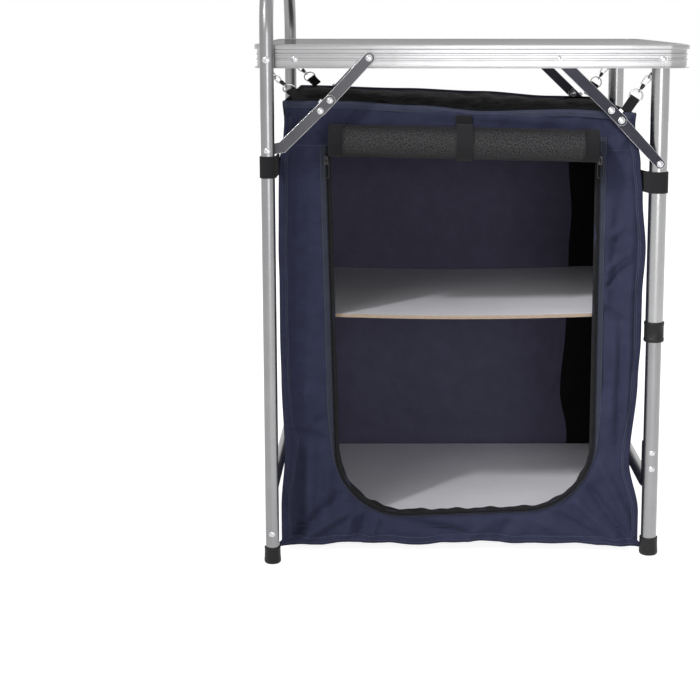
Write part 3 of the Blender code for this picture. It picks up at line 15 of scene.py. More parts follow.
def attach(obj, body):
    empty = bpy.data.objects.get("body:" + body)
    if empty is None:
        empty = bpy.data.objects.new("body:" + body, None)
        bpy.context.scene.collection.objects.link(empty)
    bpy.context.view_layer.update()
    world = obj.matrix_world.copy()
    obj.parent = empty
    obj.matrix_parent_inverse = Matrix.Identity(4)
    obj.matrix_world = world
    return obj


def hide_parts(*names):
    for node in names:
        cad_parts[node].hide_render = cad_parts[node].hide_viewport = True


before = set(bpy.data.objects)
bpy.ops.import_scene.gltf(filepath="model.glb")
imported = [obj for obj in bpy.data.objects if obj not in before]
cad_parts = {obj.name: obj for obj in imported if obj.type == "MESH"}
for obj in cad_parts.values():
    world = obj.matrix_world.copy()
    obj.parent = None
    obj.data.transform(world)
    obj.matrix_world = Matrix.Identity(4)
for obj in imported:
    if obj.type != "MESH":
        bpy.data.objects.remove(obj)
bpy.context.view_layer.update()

# Gaps between pieces
FIT = 0.0003

# Worktop
WORKTOP_LENGTH, WORKTOP_DEPTH, WORKTOP_HEIGHT = 0.600, 0.480, 0.730
RAIL_HEIGHT = 0.0325
RAIL_WALL = 0.0016
RAIL_LIP_OUT = 0.0035
RAIL_LIP_HEIGHT = 0.007
RAIL_LEDGE = 0.008
RAIL_RIB_OUT = 0.0009
RAIL_RIB_HEIGHT = 0.0024
RAIL_RIB_DROPS = (0.0125, 0.0195)
RAIL_CORNER_RADIUS = 0.027
BOARD_THICKNESS = 0.008
BOARD_SINK = 0.0006

# Left legs
HOOP_X = -0.280
HOOP_RADIUS = 0.0095
HOOP_TOP = 0.832
HOOP_BEND = 0.090
HOOP_CROSS_HEIGHT = 0.105
HOOP_CROSS_RADIUS = 0.008
HOOP_FOOT_RIVET_HEIGHT = 0.044

# Right legs
RIGHT_LEG_X = 0.260
UPPER_RADIUS = 0.0125
UPPER_WALL = 0.0011
UPPER_TOP = 0.717
LOWER_RADIUS = 0.011
COLLAR_BOTTOM = 0.3135
COLLAR_HEIGHT = 0.0285
COLLAR_STEP = 0.006
COLLAR_WALL = 0.0016
LOWER_WALL, LOWER_OVERLAP = 0.0012, 0.0865
CROSS_BAR_RADIUS = 0.0095
CROSS_BAR_HEIGHT = 0.096
CROSS_BAR_BEND = 0.026
CROSS_BAR_RIVET_HEIGHTS = (0.1525, 0.1285)
CROSS_BAR_END_REACH = 0.010

# Feet
FOOT_FLOOR = 0.004
FOOT_WALL = 0.0016
LEFT_FOOT_HEIGHT = 0.024
RIGHT_FOOT_HEIGHT = 0.026

# Rivets
RIVET_SHAFT = 0.0022
RIVET_HEAD = 0.0046
RIVET_DOME = 0.0020
RIVET_SEAT = 0.0007
PIVOT_HEAD = 0.0052
PIVOT_SHAFT = 0.0030
PIVOT_TIP = 0.001
PIVOT_HEIGHT = 0.7095
SPACER_RADIUS = 0.0062
SPACER_SEAT = 0.0012
RAIL_RIVET_X = -0.243

# Knee braces
LINK_THICKNESS = 0.0020
LINK_HALF_WIDTH = 0.0077
LINK_TAIL = 0.0195
LUG_LENGTH = 0.006
LUG_THICKNESS = 0.0016
BRACE_LEG_HALF_WIDTH = 0.0068
LEFT_BRACE_RAIL, LEFT_BRACE_KNEE = (-0.1416, 0.7115), (-0.195, 0.654)
LEFT_BRACE_BEND, LEFT_BRACE_LEG = (-0.261, 0.590), (-0.280, 0.5866)
RIGHT_BRACE_RAIL, RIGHT_BRACE_KNEE, RIGHT_BRACE_LEG = (0.117, 0.711), (0.191, 0.640), (0.260, 0.566)

# Cupboard
CLOTH = 0.0016
CUPBOARD_LEFT, CUPBOARD_RIGHT = 0.264, 0.240
CUPBOARD_FRONT, CUPBOARD_BACK = 0.208, 0.225
CUPBOARD_BOTTOM, CUPBOARD_TOP = 0.014, 0.651
EDGE_SWAY = 0.010
TOP_DROP = 0.016
HEM_RISE = 0.007
HEM_HANG, HEM_WAVE = 0.004, 0.0018
TOP_PANEL_SINK = 0.004
TOP_PANEL_SAG = 0.006

# Outline of the cloth: shares of its height, from the hem up, and of the sway
LEFT_EDGE_SHARES = (
    (0.00, 0.50), (0.08, 0.50), (0.21, -0.07), (0.38, 0.30), (0.48, 0.42), (0.60, 0.42), (0.67, 0.50),
    (0.76, 0.43), (0.86, 0.34), (0.92, -0.35), (0.96, -0.50), (1.00, -0.28),
)
RIGHT_EDGE_SHARES = (
    (0.00, 0.45), (0.07, 0.45), (0.19, -1.00), (0.38, -0.05), (0.47, 0.25), (0.57, 0.25), (0.67, 0.60),
    (0.79, 0.00), (0.86, -0.40), (0.95, -1.30), (1.00, -1.00),
)
TOP_EDGE_SHARES = ((0.00, 0.00), (0.16, 0.05), (0.38, 0.42), (0.57, 0.92), (0.80, 0.76), (1.00, 1.05))
REAR_TOP_SHARES = ((0.00, -0.20), (0.35, 0.10), (0.60, 0.40), (0.85, 0.90), (1.00, 1.00))
HEM_SHARES = (
    (0.00, 0.00), (0.07, 0.55), (0.20, 0.80), (0.38, 0.50), (0.55, 0.95), (0.75, 0.75), (0.90, 0.45),
    (1.00, -0.10),
)

# Door opening
OPENING_TOP = 0.598
OPENING_LEFT_TOP, OPENING_LEFT_BOTTOM = -0.1975, -0.1850
OPENING_RIGHT = 0.1745
OPENING_BOTTOM_LEFT, OPENING_BOTTOM_RIGHT = 0.056, 0.070
OPENING_RADIUS = 0.095
OPENING_TOP_RADIUS = 0.012

# Zip
ZIP_EDGE = 0.0055
ZIP_RADIUS = 0.0012
ZIP_TOP = 0.581
SLIDER_HALF_WIDTH = 0.0030
SLIDER_LENGTH = 0.012
SLIDER_WALL = 0.0011
SLIDER_START_DROP = 0.012
SLIDER_ARCH_WIRE = 0.0007
SLIDER_ARCH_RISE = 0.0034
SLIDER_ARCH_HALF = 0.0036
PULL_WIRE = 0.0007
PULL_HALF_WIDTH = 0.0040
PULL_LENGTH = 0.024
PULL_CORNER = 0.0024
TAPE_INNER, TAPE_OUTER, TAPE_LOW = 0.0048, 0.0150, 0.0078
TAPE_FULL_FROM, TAPE_NARROW_TO = 0.230, 0.110

# Rolled door and its strap
ROLL_RADIUS = 0.0240
ROLL_CORE = 0.0040
ROLL_PITCH = 0.0033
ROLL_LEFT = (-0.1975, 0.600)
ROLL_RIGHT = (0.1740, 0.592)
ROLL_END_BAND = 0.0200
ROLL_STRAP_THICKNESS = 0.0013
ROLL_STRAP_WIDTH = 0.0230
ROLL_STRAP_OFFSET = 0.0010
ROLL_SEAM_GAP = 0.0016
ROLL_STATIONS, ROLL_TURN_STEPS = 96, 44
ROLL_START_ANGLE = 2.3
ROLL_DENT, ROLL_LUMP = -0.0005, 0.0007
ROLL_STRAP_START, ROLL_STRAP_SWEEP = 30, 320

# Boards
SHELF_TOP = 0.352
SHELF_THICKNESS = 0.005
SHELF_FRONT_SETBACK = 0.010
SHELF_SAG = 0.006
FLOOR_BOARD_TOP = 0.0425
FLOOR_BOARD_THICKNESS = 0.004
LEDGE_REACH, LEDGE_DROP = 0.011, 0.0022
# X from which the back wall's inner face is painted black as shade, to its right end
BACK_SHADED_FROM = 0.184
BOARD_SIDE_PLAY, BOARD_BACK_PLAY, BOARD_EASE = 0.001, 0.004, 0.0005

# Webbing straps round the legs
STRAP_THICKNESS = 0.0016
STRAP_WIDTH = 0.030
LEFT_STRAP_HEIGHT, RIGHT_STRAP_HEIGHT = 0.5640, 0.5395
STRAP_END_SETBACK = 0.015
STRAP_WRAP = 0.93
STRAP_STEPS, STRAP_TAIL_STEPS = 44, 6

# Hooks at the four top corners
EYE_RING = 0.0044
EYE_WIRE = 0.0009
EYE_HEIGHT = 0.690
HOOK_BOW_HALF_WIDTH = 0.0042
HOOK_BOW_LENGTH = 0.0142
HOOK_WIRE = 0.0009
HOOK_BARREL_RADIUS = 0.0028
HOOK_BARREL_LENGTH = 0.0072
HOOK_SWIVEL_RING = 0.0029
RING_RADIUS = 0.0090
RING_WIRE = 0.0011
TAB_WIDTH = 0.0142
LEFT_TAB_INSET, RIGHT_TAB_INSET = 0.030, 0.026
GATE_WIRE = 0.0008
GATE_GAP = 0.0006

# Stitches, seams and edges of the cloth
STITCH_PITCH, STITCH_LENGTH, STITCH_RADIUS = 0.0034, 0.0024, 0.00032
WALL_THICKNESS = CLOTH * 0.75
SIDE_CELLS, BACK_CELLS, TOP_CELLS, FLOOR_CELLS = (110, 150), (130, 150), (150, 120), (90, 70)
TRIM_THICKNESS = 0.0006
TAPE_POINTS, STRIP_POINTS, LINING_POINTS = 420, 300, 260
BAND_LIFT = 0.0019
HEM_TAIL = 0.009
HEM_BAND_WIDTH, HEM_BAND_DROP, HEM_BAND_TAPER = 0.0132, 0.0012, 0.0015
HEM_STITCH_RISES = (0.0028, 0.0098)
SEAM_STITCH_INSET = 0.0024
TOP_STITCH_DROPS = (0.0022, 0.0082)
BINDING_SECTION = (
    (0.0, -0.0010), (-0.0004, 0.0010), (0.0015, 0.0016), (0.0080, 0.0015), (0.0100, 0.0009),
)
WELT_BOTTOM, WELT_LENGTH, WELT_RADIUS = 0.020, 0.612, 0.0010
LINING_REACH, LINING_WAVE, LINING_LEFT_BULGE = 0.0008, 0.0022, 0.0030

# Distance of the side seams from the wall's edges, by height
LEFT_WELT = (
    (0.017, 0.0125), (0.080, 0.0115), (0.125, 0.0135), (0.165, 0.0180), (0.195, 0.0125), (0.260, 0.0108),
    (0.400, 0.0100), (0.520, 0.0112), (0.632, 0.0090),
)
RIGHT_WELT = (
    (0.017, 0.0070), (0.120, 0.0100), (0.260, 0.0080), (0.400, 0.0095), (0.520, 0.0085), (0.632, 0.0100),
)

# Front wall: cells across and up, how strong its folds are, and each fold as from (x, z) to (x, z),
# width and height; a minus sign is a hollow
FRONT_CELLS = (190, 232)
FOLD_STRENGTH = 1.55
FRONT_FOLDS = (
    (-0.238, 0.538, -0.242, 0.324, 0.009, 0.0030),
    (-0.236, 0.242, -0.216, 0.202, 0.013, 0.0050),
    (-0.254, 0.182, -0.205, 0.167, 0.008, -0.0040),
    (-0.242, 0.158, -0.244, 0.028, 0.006, -0.0050),
    (-0.225, 0.153, -0.229, 0.039, 0.008, 0.0030),
    (-0.198, 0.128, -0.211, 0.053, 0.008, 0.0040),
    (-0.254, 0.020, -0.188, 0.085, 0.007, -0.0050),
    (-0.242, 0.018, -0.168, 0.065, 0.006, 0.0045),
    (-0.178, 0.023, -0.167, 0.056, 0.006, 0.0042),
    (-0.140, 0.023, -0.130, 0.060, 0.006, 0.0040),
    (-0.160, 0.023, -0.148, 0.059, 0.005, -0.0035),
    (-0.168, 0.072, -0.093, 0.050, 0.006, -0.0050),
    (-0.093, 0.050, 0.000, 0.025, 0.008, -0.0045),
    (0.226, 0.502, 0.225, 0.167, 0.008, 0.0045),
    (0.206, 0.488, 0.202, 0.367, 0.007, -0.0030),
    (0.194, 0.390, 0.224, 0.421, 0.004, -0.0035),
    (0.194, 0.413, 0.219, 0.438, 0.005, 0.0035),
    (0.199, 0.461, 0.216, 0.478, 0.006, 0.0035),
    (0.193, 0.359, 0.216, 0.341, 0.004, -0.0030),
    (0.205, 0.324, 0.202, 0.182, 0.007, 0.0026),
    (0.216, 0.310, 0.215, 0.167, 0.006, -0.0026),
    (0.245, 0.018, 0.193, 0.125, 0.007, 0.0045),
    (0.231, 0.018, 0.174, 0.096, 0.006, -0.0045),
    (0.219, 0.016, 0.156, 0.075, 0.006, 0.0040),
    (0.199, 0.016, 0.128, 0.056, 0.006, -0.0032),
    (0.171, 0.018, 0.100, 0.046, 0.007, 0.0030),
    (0.043, 0.020, 0.060, 0.048, 0.008, -0.0030),
    (0.000, 0.019, 0.028, 0.042, 0.007, 0.0030),
    (-0.243, 0.629, -0.208, 0.595, 0.008, 0.0030),
    (0.230, 0.623, 0.198, 0.581, 0.008, 0.0030),
    (-0.043, 0.633, 0.127, 0.622, 0.006, 0.0018),
)

# Camera, lamps and studio
CAMERA_PLACE = (-0.1103, -2.4020, 0.7719)
CAMERA_DROP = 9.122
CAMERA_SENSOR, CAMERA_LENS = 36, 81.0
CAMERA_SHIFT = (-0.0600, -0.12)
KEY_PLACE, KEY_TARGET = (-2.334, -3.091, 3.81), (0.797, -0.931, 0.35)
KEY_POWER, KEY_CONE, KEY_BLEND, KEY_RADIUS = 720, 27, 0.07, 0.30
AREA_LAMPS = (
    ("soft_lamp", (-1.60, -2.60, 2.20), (0, 0, 0.40), (1.2, 1.2), 20),
    ("front_lamp", (0.27, -2.30, 0.66), (0.1, 0, 0.60), (0.85, 0.70), 9),
    ("rear_lamp", (1.6, 2.4, 2.0), (0, 0, 0.40), (1.4, 1.4), 14),
)
WORLD_LIGHT, WORLD_SEEN = 0.50, 1.0
FLOOR_TONE, FLOOR_GLOW_SEEN = 0.62, 0.88
FLOOR_REACH, FLOOR_DROP = 9.0, 0.0004

# Worked out from the sizes above
RAIL_FACE_X = WORKTOP_LENGTH / 2 - RAIL_LIP_OUT
RAIL_FACE_Y = WORKTOP_DEPTH / 2 - RAIL_LIP_OUT
RAIL_INNER_Y = RAIL_FACE_Y - RAIL_WALL
RAIL_RIB_Y = RAIL_FACE_Y + RAIL_RIB_OUT
LEFT_LEG_Y = WORKTOP_DEPTH / 2 + 2 * LINK_THICKNESS + 3 * FIT + HOOP_RADIUS
RIGHT_LEG_Y = RAIL_INNER_Y - 2 * LINK_THICKNESS - 3 * FIT - UPPER_RADIUS
CROSS_BAR_Y = RIGHT_LEG_Y - LOWER_RADIUS - FIT - CROSS_BAR_RADIUS
FRONT_SURFACE = -CUPBOARD_FRONT - CLOTH / 2
ROLL_Y = FRONT_SURFACE - 2 * FIT - ROLL_STRAP_THICKNESS - ROLL_RADIUS - FIT
ZIP_Y = FRONT_SURFACE - FIT - ZIP_RADIUS
CUPBOARD_WIDTH = CUPBOARD_LEFT + CUPBOARD_RIGHT
CUPBOARD_DEPTH = CUPBOARD_FRONT + CUPBOARD_BACK
CUPBOARD_HEIGHT = CUPBOARD_TOP - CUPBOARD_BOTTOM
LEFT_TAB_SHARE = LEFT_TAB_INSET / CUPBOARD_WIDTH
RIGHT_TAB_SHARE = 1 - RIGHT_TAB_INSET / CUPBOARD_WIDTH
WALL_CLEAR = CLOTH / 2 + FIT
FORWARD = Vector((0, -1, 0))
FRONT = -1
REAR = 1
SIDES = ((FRONT, "front"), (REAR, "rear"))

# Distances from the leg along the hanging gear
EYE_AT = EYE_RING - EYE_WIRE
BOW_START = EYE_AT + EYE_RING - EYE_WIRE - HOOK_WIRE - FIT
BOW_END = BOW_START + HOOK_BOW_LENGTH
BARREL_AT = BOW_END - HOOK_WIRE * 2
SWIVEL_AT = BARREL_AT + HOOK_BARREL_LENGTH + HOOK_SWIVEL_RING - EYE_WIRE / 2
RING_AT = SWIVEL_AT + HOOK_SWIVEL_RING - EYE_WIRE - RING_WIRE - FIT + RING_RADIUS
TAB_BEND_AT = RING_AT + math.sqrt((RING_RADIUS - RING_WIRE) ** 2 - (TAB_WIDTH / 2) ** 2) + RING_WIRE * 1.2


# Materials


class Finish:
    """A Principled material and the nodes that feed it."""

    def __init__(self, name, colour, roughness, metallic=0.0, sockets=None):
        self.material = bpy.data.materials.new(name)
        self.material.use_nodes = True
        self.tree = self.material.node_tree
        self.shader = self.tree.nodes["Principled BSDF"]
        values = {"Base Color": (*colour, 1.0), "Roughness": roughness, "Metallic": metallic}
        values.update(sockets or {})
        for label, value in values.items():
            self.shader.inputs[label].default_value = value

    def add(self, kind, inputs=None, output=0, **settings):
        """The output of a new node with these settings and these values or links for its inputs."""
        node = self.tree.nodes.new(kind)
        for key, value in settings.items():
            setattr(node, key, value)
        for key, value in (inputs or {}).items():
            if isinstance(value, bpy.types.NodeSocket):
                self.tree.links.new(value, node.inputs[key])
            else:
                node.inputs[key].default_value = value
        return node.outputs[output]

    def feed(self, label, socket):
        """Link a socket to one of the shader's inputs."""
        self.tree.links.new(socket, self.shader.inputs[label])

    def grain(self):
        """Coordinates that run with the piece: across it in X and Y, along it in Z."""
        return self.add("ShaderNodeAttribute", output="Vector", attribute_name="grain")

    def place(self):
        """Coordinates of the piece at rest, in metres."""
        return self.add("ShaderNodeTexCoord", output="Object")

    def scaled(self, vector, scale):
        """Coordinates stretched by a scale for each axis."""
        return self.add("ShaderNodeMapping", {"Vector": vector, "Scale": scale})

    def noise(self, vector, scale, detail=2.0, roughness=0.5):
        """A noise value from 0 to 1."""
        inputs = {"Vector": vector, "Scale": scale, "Detail": detail, "Roughness": roughness}
        return self.add("ShaderNodeTexNoise", inputs)

    def maths(self, operation, first, second=0.0):
        """The result of one operation on two values."""
        return self.add("ShaderNodeMath", {0: first, 1: second}, operation=operation)

    def blend(self, *parts):
        """The sum of values, each times its share."""
        total = 0.0
        for value, share in parts:
            total = self.maths("ADD", total, self.maths("MULTIPLY", value, share))
        return total

    def ripple(self, vector, axis, pitch):
        """A sine along one axis of a vector, once each pitch, from -1 to 1."""
        value = self.add("ShaderNodeSeparateXYZ", {"Vector": vector}, output=axis)
        return self.maths("SINE", self.maths("MULTIPLY", value, 2 * math.pi / pitch))

    def spread(self, value, low, high, new_low, new_high):
        """A value mapped from one range to another, held at its ends."""
        return self.add("ShaderNodeMapRange", {0: value, 1: low, 2: high, 3: new_low, 4: new_high})

    def shade(self, value, low, high, dark, light):
        """The base colour, dark at a low value and light at a high one."""
        inputs = {0: self.spread(value, low, high, 0.0, 1.0), 6: (*dark, 1.0), 7: (*light, 1.0)}
        self.feed("Base Color", self.add("ShaderNodeMix", inputs, output=2, data_type="RGBA"))

    def bump(self, height, distance):
        """Small relief from a height value, whose full depth is the distance."""
        inputs = {"Height": height, "Distance": distance, "Strength": 1.0}
        self.feed("Normal", self.add("ShaderNodeBump", inputs, output="Normal"))


def metal(name, dark, light, roughness, streak=(900.0, 900.0, 7.0), anisotropic=0.0):
    """Drawn or brushed metal, with fine grain along the piece and faint handling marks."""
    sockets = {"Anisotropic": anisotropic, "Anisotropic Rotation": 0.25}
    finish = Finish(name, light, roughness, 1.0, sockets)
    fine = finish.noise(finish.scaled(finish.grain(), streak), 1.0, 3.0, 0.6)
    cloudy = finish.noise(finish.place(), 26.0, 4.0, 0.6)
    both = finish.blend((fine, 0.6), (cloudy, 0.4))
    finish.shade(both, 0.3, 0.7, dark, light)
    finish.feed("Roughness", finish.spread(both, 0.25, 0.75, roughness + 0.06, roughness - 0.05))
    finish.bump(fine, 0.00003)
    return finish.material


def woven(name, dark, light, pitch, roughness, sheen):
    """Plain-woven cloth: crossing threads, uneven yarn and soft cloudy wear."""
    finish = Finish(name, light, roughness, 0.0, sheen)
    grain = finish.grain()
    threads = finish.maths("MULTIPLY", finish.ripple(grain, "X", pitch), finish.ripple(grain, "Y", pitch))
    slub = finish.noise(finish.scaled(grain, (90.0, 1400.0, 1.0)), 1.0)
    cloudy = finish.noise(grain, 38.0, 5.0, 0.6)
    fine = finish.noise(grain, 900.0)
    tone = finish.blend((slub, 0.25), (cloudy, 0.45), (fine, 0.30), (threads, 0.05))
    finish.shade(tone, 0.34, 0.66, dark, light)
    finish.bump(finish.blend((threads, 0.5), (fine, 1.0)), 0.00012)
    return finish.material


def webbing_material(dark, light):
    """Woven webbing: ribs across the band and a herringbone of yarns."""
    finish = Finish("webbing", light, 0.82, 0.0, BLACK_SHEEN)
    grain = finish.grain()
    ribs, rows = finish.ripple(grain, "Z", 0.0016), finish.ripple(grain, "X", 0.0016 * 1.4)
    threads = finish.blend((ribs, 0.5), (rows, 0.3))
    tone = finish.blend((threads, 0.3), (finish.noise(grain, 1500.0), 1.0))
    finish.shade(tone, 0.2, 0.8, dark, light)
    finish.bump(threads, 0.0002)
    return finish.material


def moulded(name, dark, light, roughness):
    """Moulded plastic with a fine spark-eroded grain."""
    finish = Finish(name, light, roughness, 0.0, {"Specular IOR Level": 0.2})
    place = finish.place()
    fine = finish.noise(place, 2600.0)
    finish.shade(finish.noise(place, 120.0, 3.0), 0.0, 1.0, dark, light)
    finish.feed("Roughness", finish.spread(fine, 0.2, 0.8, roughness + 0.08, roughness - 0.08))
    finish.bump(fine, 0.00005)
    return finish.material


def laminate_material(dark, light):
    """Light grey glossy laminate with a faint speckle."""
    gloss = {"Specular IOR Level": 0.0, "Coat Weight": 0.28, "Coat Roughness": 0.08}
    finish = Finish("laminate", (0.4, 0.4, 0.41), 0.30, 0.0, gloss)
    place = finish.place()
    tone = finish.blend((finish.noise(place, 1400.0), 0.6), (finish.noise(place, 9.0, 3.0), 0.4))
    finish.shade(tone, 0.3, 0.7, dark, light)
    finish.bump(finish.noise(place, 60.0), 0.00006)
    return finish.material


def board_material(dark, light):
    """White film on board, with faint scuffs."""
    finish = Finish("board_white", (0.7, 0.7, 0.72), 0.42)
    place = finish.place()
    scuff = finish.noise(finish.scaled(place, (30.0, 220.0, 30.0)), 1.0, 4.0, 0.65)
    finish.shade(finish.blend((scuff, 0.4), (finish.noise(place, 7.0, 3.0), 0.6)), 0.3, 0.7, dark, light)
    finish.feed("Roughness", finish.spread(scuff, 0.3, 0.7, 0.36, 0.52))
    finish.bump(finish.noise(place, 400.0), 0.00004)
    return finish.material


def fibre_material(dark, light):
    """Cut edge of fibre board: tan, with short fibres."""
    finish = Finish("board_edge", (0.42, 0.33, 0.25), 0.85)
    fibres = finish.noise(finish.scaled(finish.place(), (260.0, 900.0, 1800.0)), 1.0, 4.0, 0.7)
    finish.shade(fibres, 0.3, 0.7, dark, light)
    finish.bump(fibres, 0.0001)
    return finish.material


def net_material(dark, light):
    """Black mosquito net over cloth: a speckle of dark yarns whose light specks are painted glint."""
    gloss = {"Specular IOR Level": 0.16, "Sheen Weight": 0.02}
    finish = Finish("net_black", (0.05, 0.05, 0.05), 0.42, 0.0, gloss)
    grain = finish.grain()
    holes = finish.maths("MULTIPLY", finish.ripple(grain, "X", 0.0022), finish.ripple(grain, "Y", 0.0022))
    tone = finish.blend((finish.noise(grain, 560.0, 2.0, 0.6), 1.0), (holes, 0.12))
    finish.shade(tone, 0.43, 0.74, dark, light)
    finish.bump(tone, 0.0004)
    return finish.material


NAVY_SHEEN = {
    "Specular IOR Level": 0.12, "Sheen Weight": 0.05, "Sheen Roughness": 0.5,
    "Sheen Tint": (0.6, 0.65, 0.9, 1.0),
}
BLACK_SHEEN = {"Specular IOR Level": 0.12, "Sheen Weight": 0.04, "Sheen Roughness": 0.6}
EXTRUDED, BRUSHED, DRAWN_WIRE = (1200.0, 1200.0, 5.0), (1500.0, 14.0, 14.0), (700.0, 700.0, 60.0)
TUBE = metal("tube_aluminium", (0.235, 0.235, 0.240), (0.290, 0.290, 0.295), 0.32)
OUTER_TUBE = metal("outer_tube_aluminium", (0.31, 0.31, 0.315), (0.38, 0.38, 0.385), 0.26)
RAIL = metal("rail_aluminium", (0.34, 0.34, 0.345), (0.40, 0.40, 0.405), 0.30, EXTRUDED, 0.75)
BRACE = metal("brace_aluminium", (0.055, 0.055, 0.061), (0.085, 0.084, 0.092), 0.38, BRUSHED)
DARK_BRACE = metal("dark_brace_aluminium", (0.018, 0.018, 0.024), (0.030, 0.030, 0.037), 0.38, BRUSHED)
# Brighter metal on the braces' eased edges and on their stop lugs
BRIGHT = metal("bright_edge_aluminium", (0.55, 0.55, 0.56), (0.75, 0.75, 0.76), 0.30)
RIVETS = metal("rivet_steel", (0.40, 0.40, 0.41), (0.62, 0.62, 0.63), 0.24, (300.0, 300.0, 300.0))
STEEL = metal("nickel_wire", (0.42, 0.42, 0.43), (0.66, 0.65, 0.64), 0.20, DRAWN_WIRE)
GUNMETAL = metal("dark_nickel", (0.018, 0.018, 0.019), (0.055, 0.055, 0.058), 0.34, DRAWN_WIRE)
LAMINATE = laminate_material((0.175, 0.174, 0.180), (0.215, 0.213, 0.220))
PLASTIC = moulded("black_plastic", (0.010, 0.010, 0.011), (0.017, 0.017, 0.018), 0.46)
COIL = moulded("coil_nylon", (0.006, 0.006, 0.007), (0.012, 0.012, 0.013), 0.40)
NAVY = woven("navy_cloth", (0.022, 0.024, 0.050), (0.038, 0.041, 0.082), 0.0006, 0.80, NAVY_SHEEN)
HEM = woven("navy_binding", (0.034, 0.039, 0.068), (0.058, 0.064, 0.100), 0.0006, 0.78, NAVY_SHEEN)
TAPE = woven("zip_tape", (0.028, 0.031, 0.047), (0.048, 0.052, 0.076), 0.0008, 0.82, NAVY_SHEEN)
INSIDE = woven("coated_inside", (0.090, 0.086, 0.138), (0.114, 0.110, 0.176), 0.0006, 0.75, BLACK_SHEEN)
# Black lining cloth; the same black is painted shade on the side walls' inner faces and towards the right
# end of the back wall's inner face
LINING_AND_SHADE = woven("black_lining_and_shade", (0.004, 0.004, 0.005), (0.009, 0.009, 0.010), 0.0007, 0.85, BLACK_SHEEN)
BLACK = woven("black_cloth", (0.007, 0.007, 0.008), (0.016, 0.016, 0.018), 0.0007, 0.80, BLACK_SHEEN)
THREAD = woven("thread", (0.075, 0.085, 0.130), (0.130, 0.145, 0.205), 0.0005, 0.7, NAVY_SHEEN)
BLACK_THREAD = woven("black_thread", (0.012, 0.012, 0.013), (0.030, 0.030, 0.032), 0.0005, 0.7, BLACK_SHEEN)
NET = net_material((0.002, 0.002, 0.003), (0.078, 0.076, 0.079))
WEBBING = webbing_material((0.008, 0.008, 0.009), (0.024, 0.024, 0.026))
WHITE_BOARD = board_material((0.78, 0.77, 0.81), (0.88, 0.87, 0.91))
FIBRE = fibre_material((0.30, 0.22, 0.16), (0.47, 0.37, 0.29))


# Shapes


def smooth_share(share):
    """0 up to 0, 1 from 1, and a smooth rise between."""
    share = min(max(share, 0.0), 1.0)
    return share * share * (3 - 2 * share)


def lookup(table, share):
    """A smooth value between the rows of a table of shares."""
    if share <= table[0][0]:
        return table[0][1]
    for (low, first), (high, second) in zip(table, table[1:]):
        if share <= high:
            return first + (second - first) * smooth_share((share - low) / (high - low))
    return table[-1][1]


def frame_at(origin, x_axis, z_axis):
    """A placing matrix from an origin, a local X and a local Z direction."""
    z_dir = Vector(z_axis).normalized()
    x_dir = (Vector(x_axis) - Vector(x_axis).dot(z_dir) * z_dir).normalized()
    placing = Matrix((x_dir, z_dir.cross(x_dir), z_dir)).transposed().to_4x4()
    placing.translation = Vector(origin)
    return placing


def rounded(points, radii, steps, closed):
    """Points of a polyline with arcs in place of its corners; radius 0 keeps a corner."""
    corners = [Vector(p) for p in points]
    count = len(corners)
    result = []
    for index, corner in enumerate(corners):
        radius = radii[index]
        if radius == 0 or (not closed and index in (0, count - 1)):
            result.append(corner)
            continue
        back = (corners[index - 1] - corner).normalized()
        ahead = (corners[(index + 1) % count] - corner).normalized()
        half = back.angle(ahead) / 2
        centre = corner + (back + ahead).normalized() * (radius / math.sin(half))
        start = corner + back * (radius / math.tan(half)) - centre
        end = corner + ahead * (radius / math.tan(half)) - centre
        sweep = math.pi - 2 * half
        for step in range(steps + 1):
            share = step / steps
            arm = start * math.sin((1 - share) * sweep) + end * math.sin(share * sweep)
            result.append(centre + arm / math.sin(sweep))
    return result


def distances(path):
    """Distance travelled along a path at each of its points."""
    result = [0.0]
    for first, second in zip(path, path[1:]):
        result.append(result[-1] + (second - first).length)
    return result


def even_path(ends, spacing):
    """Points along a polyline at an even spacing, its ends kept."""
    lengths = distances(ends)
    count = max(2, round(lengths[-1] / spacing))
    result, index = [], 0
    for step in range(count + 1):
        want = lengths[-1] * step / count
        while index < len(ends) - 2 and lengths[index + 1] < want:
            index += 1
        span = lengths[index + 1] - lengths[index]
        share = (want - lengths[index]) / span if span else 0.0
        result.append(ends[index].lerp(ends[index + 1], min(max(share, 0.0), 1.0)))
    return result


def tangents(path, closed=False):
    """Direction of a path at each of its points."""
    count = len(path)
    result = []
    for index in range(count):
        back = path[index - 1] if closed or index > 0 else path[index]
        ahead = path[(index + 1) % count] if closed or index < count - 1 else path[index]
        result.append((ahead - back).normalized())
    return result


def circle(radius, steps):
    """Points of a circle as (x, y)."""
    turns = [2 * math.pi * k / steps for k in range(steps)]
    return [(radius * math.cos(turn), radius * math.sin(turn)) for turn in turns]


class Shape:
    """A mesh under construction: points, faces, grain coordinates and material numbers."""

    def __init__(self):
        self.points = []
        self.faces = []
        self.grain = []
        self.slots = []

    def skin(self, rows, wrap_row=False, wrap_all=False, slot=0, cap_slot=None):
        """Join rows of (point, grain) into quads; a row or the whole set may close, or get end caps."""
        first, count = len(self.points), len(rows[0])
        for row in rows:
            self.points += [point for point, _ in row]
            self.grain += [mark for _, mark in row]
        for r in range(len(rows) - (0 if wrap_all else 1)):
            low, high = first + r * count, first + (r + 1) % len(rows) * count
            for c in range(count - (0 if wrap_row else 1)):
                d = (c + 1) % count
                self.faces.append((low + c, low + d, high + d, high + c))
                self.slots.append(slot(r, c) if callable(slot) else slot)
        if cap_slot is not None:
            for start in (first, len(self.points) - count):
                self.faces.append(tuple(range(start, start + count)))
                self.slots.append(cap_slot)
        return self


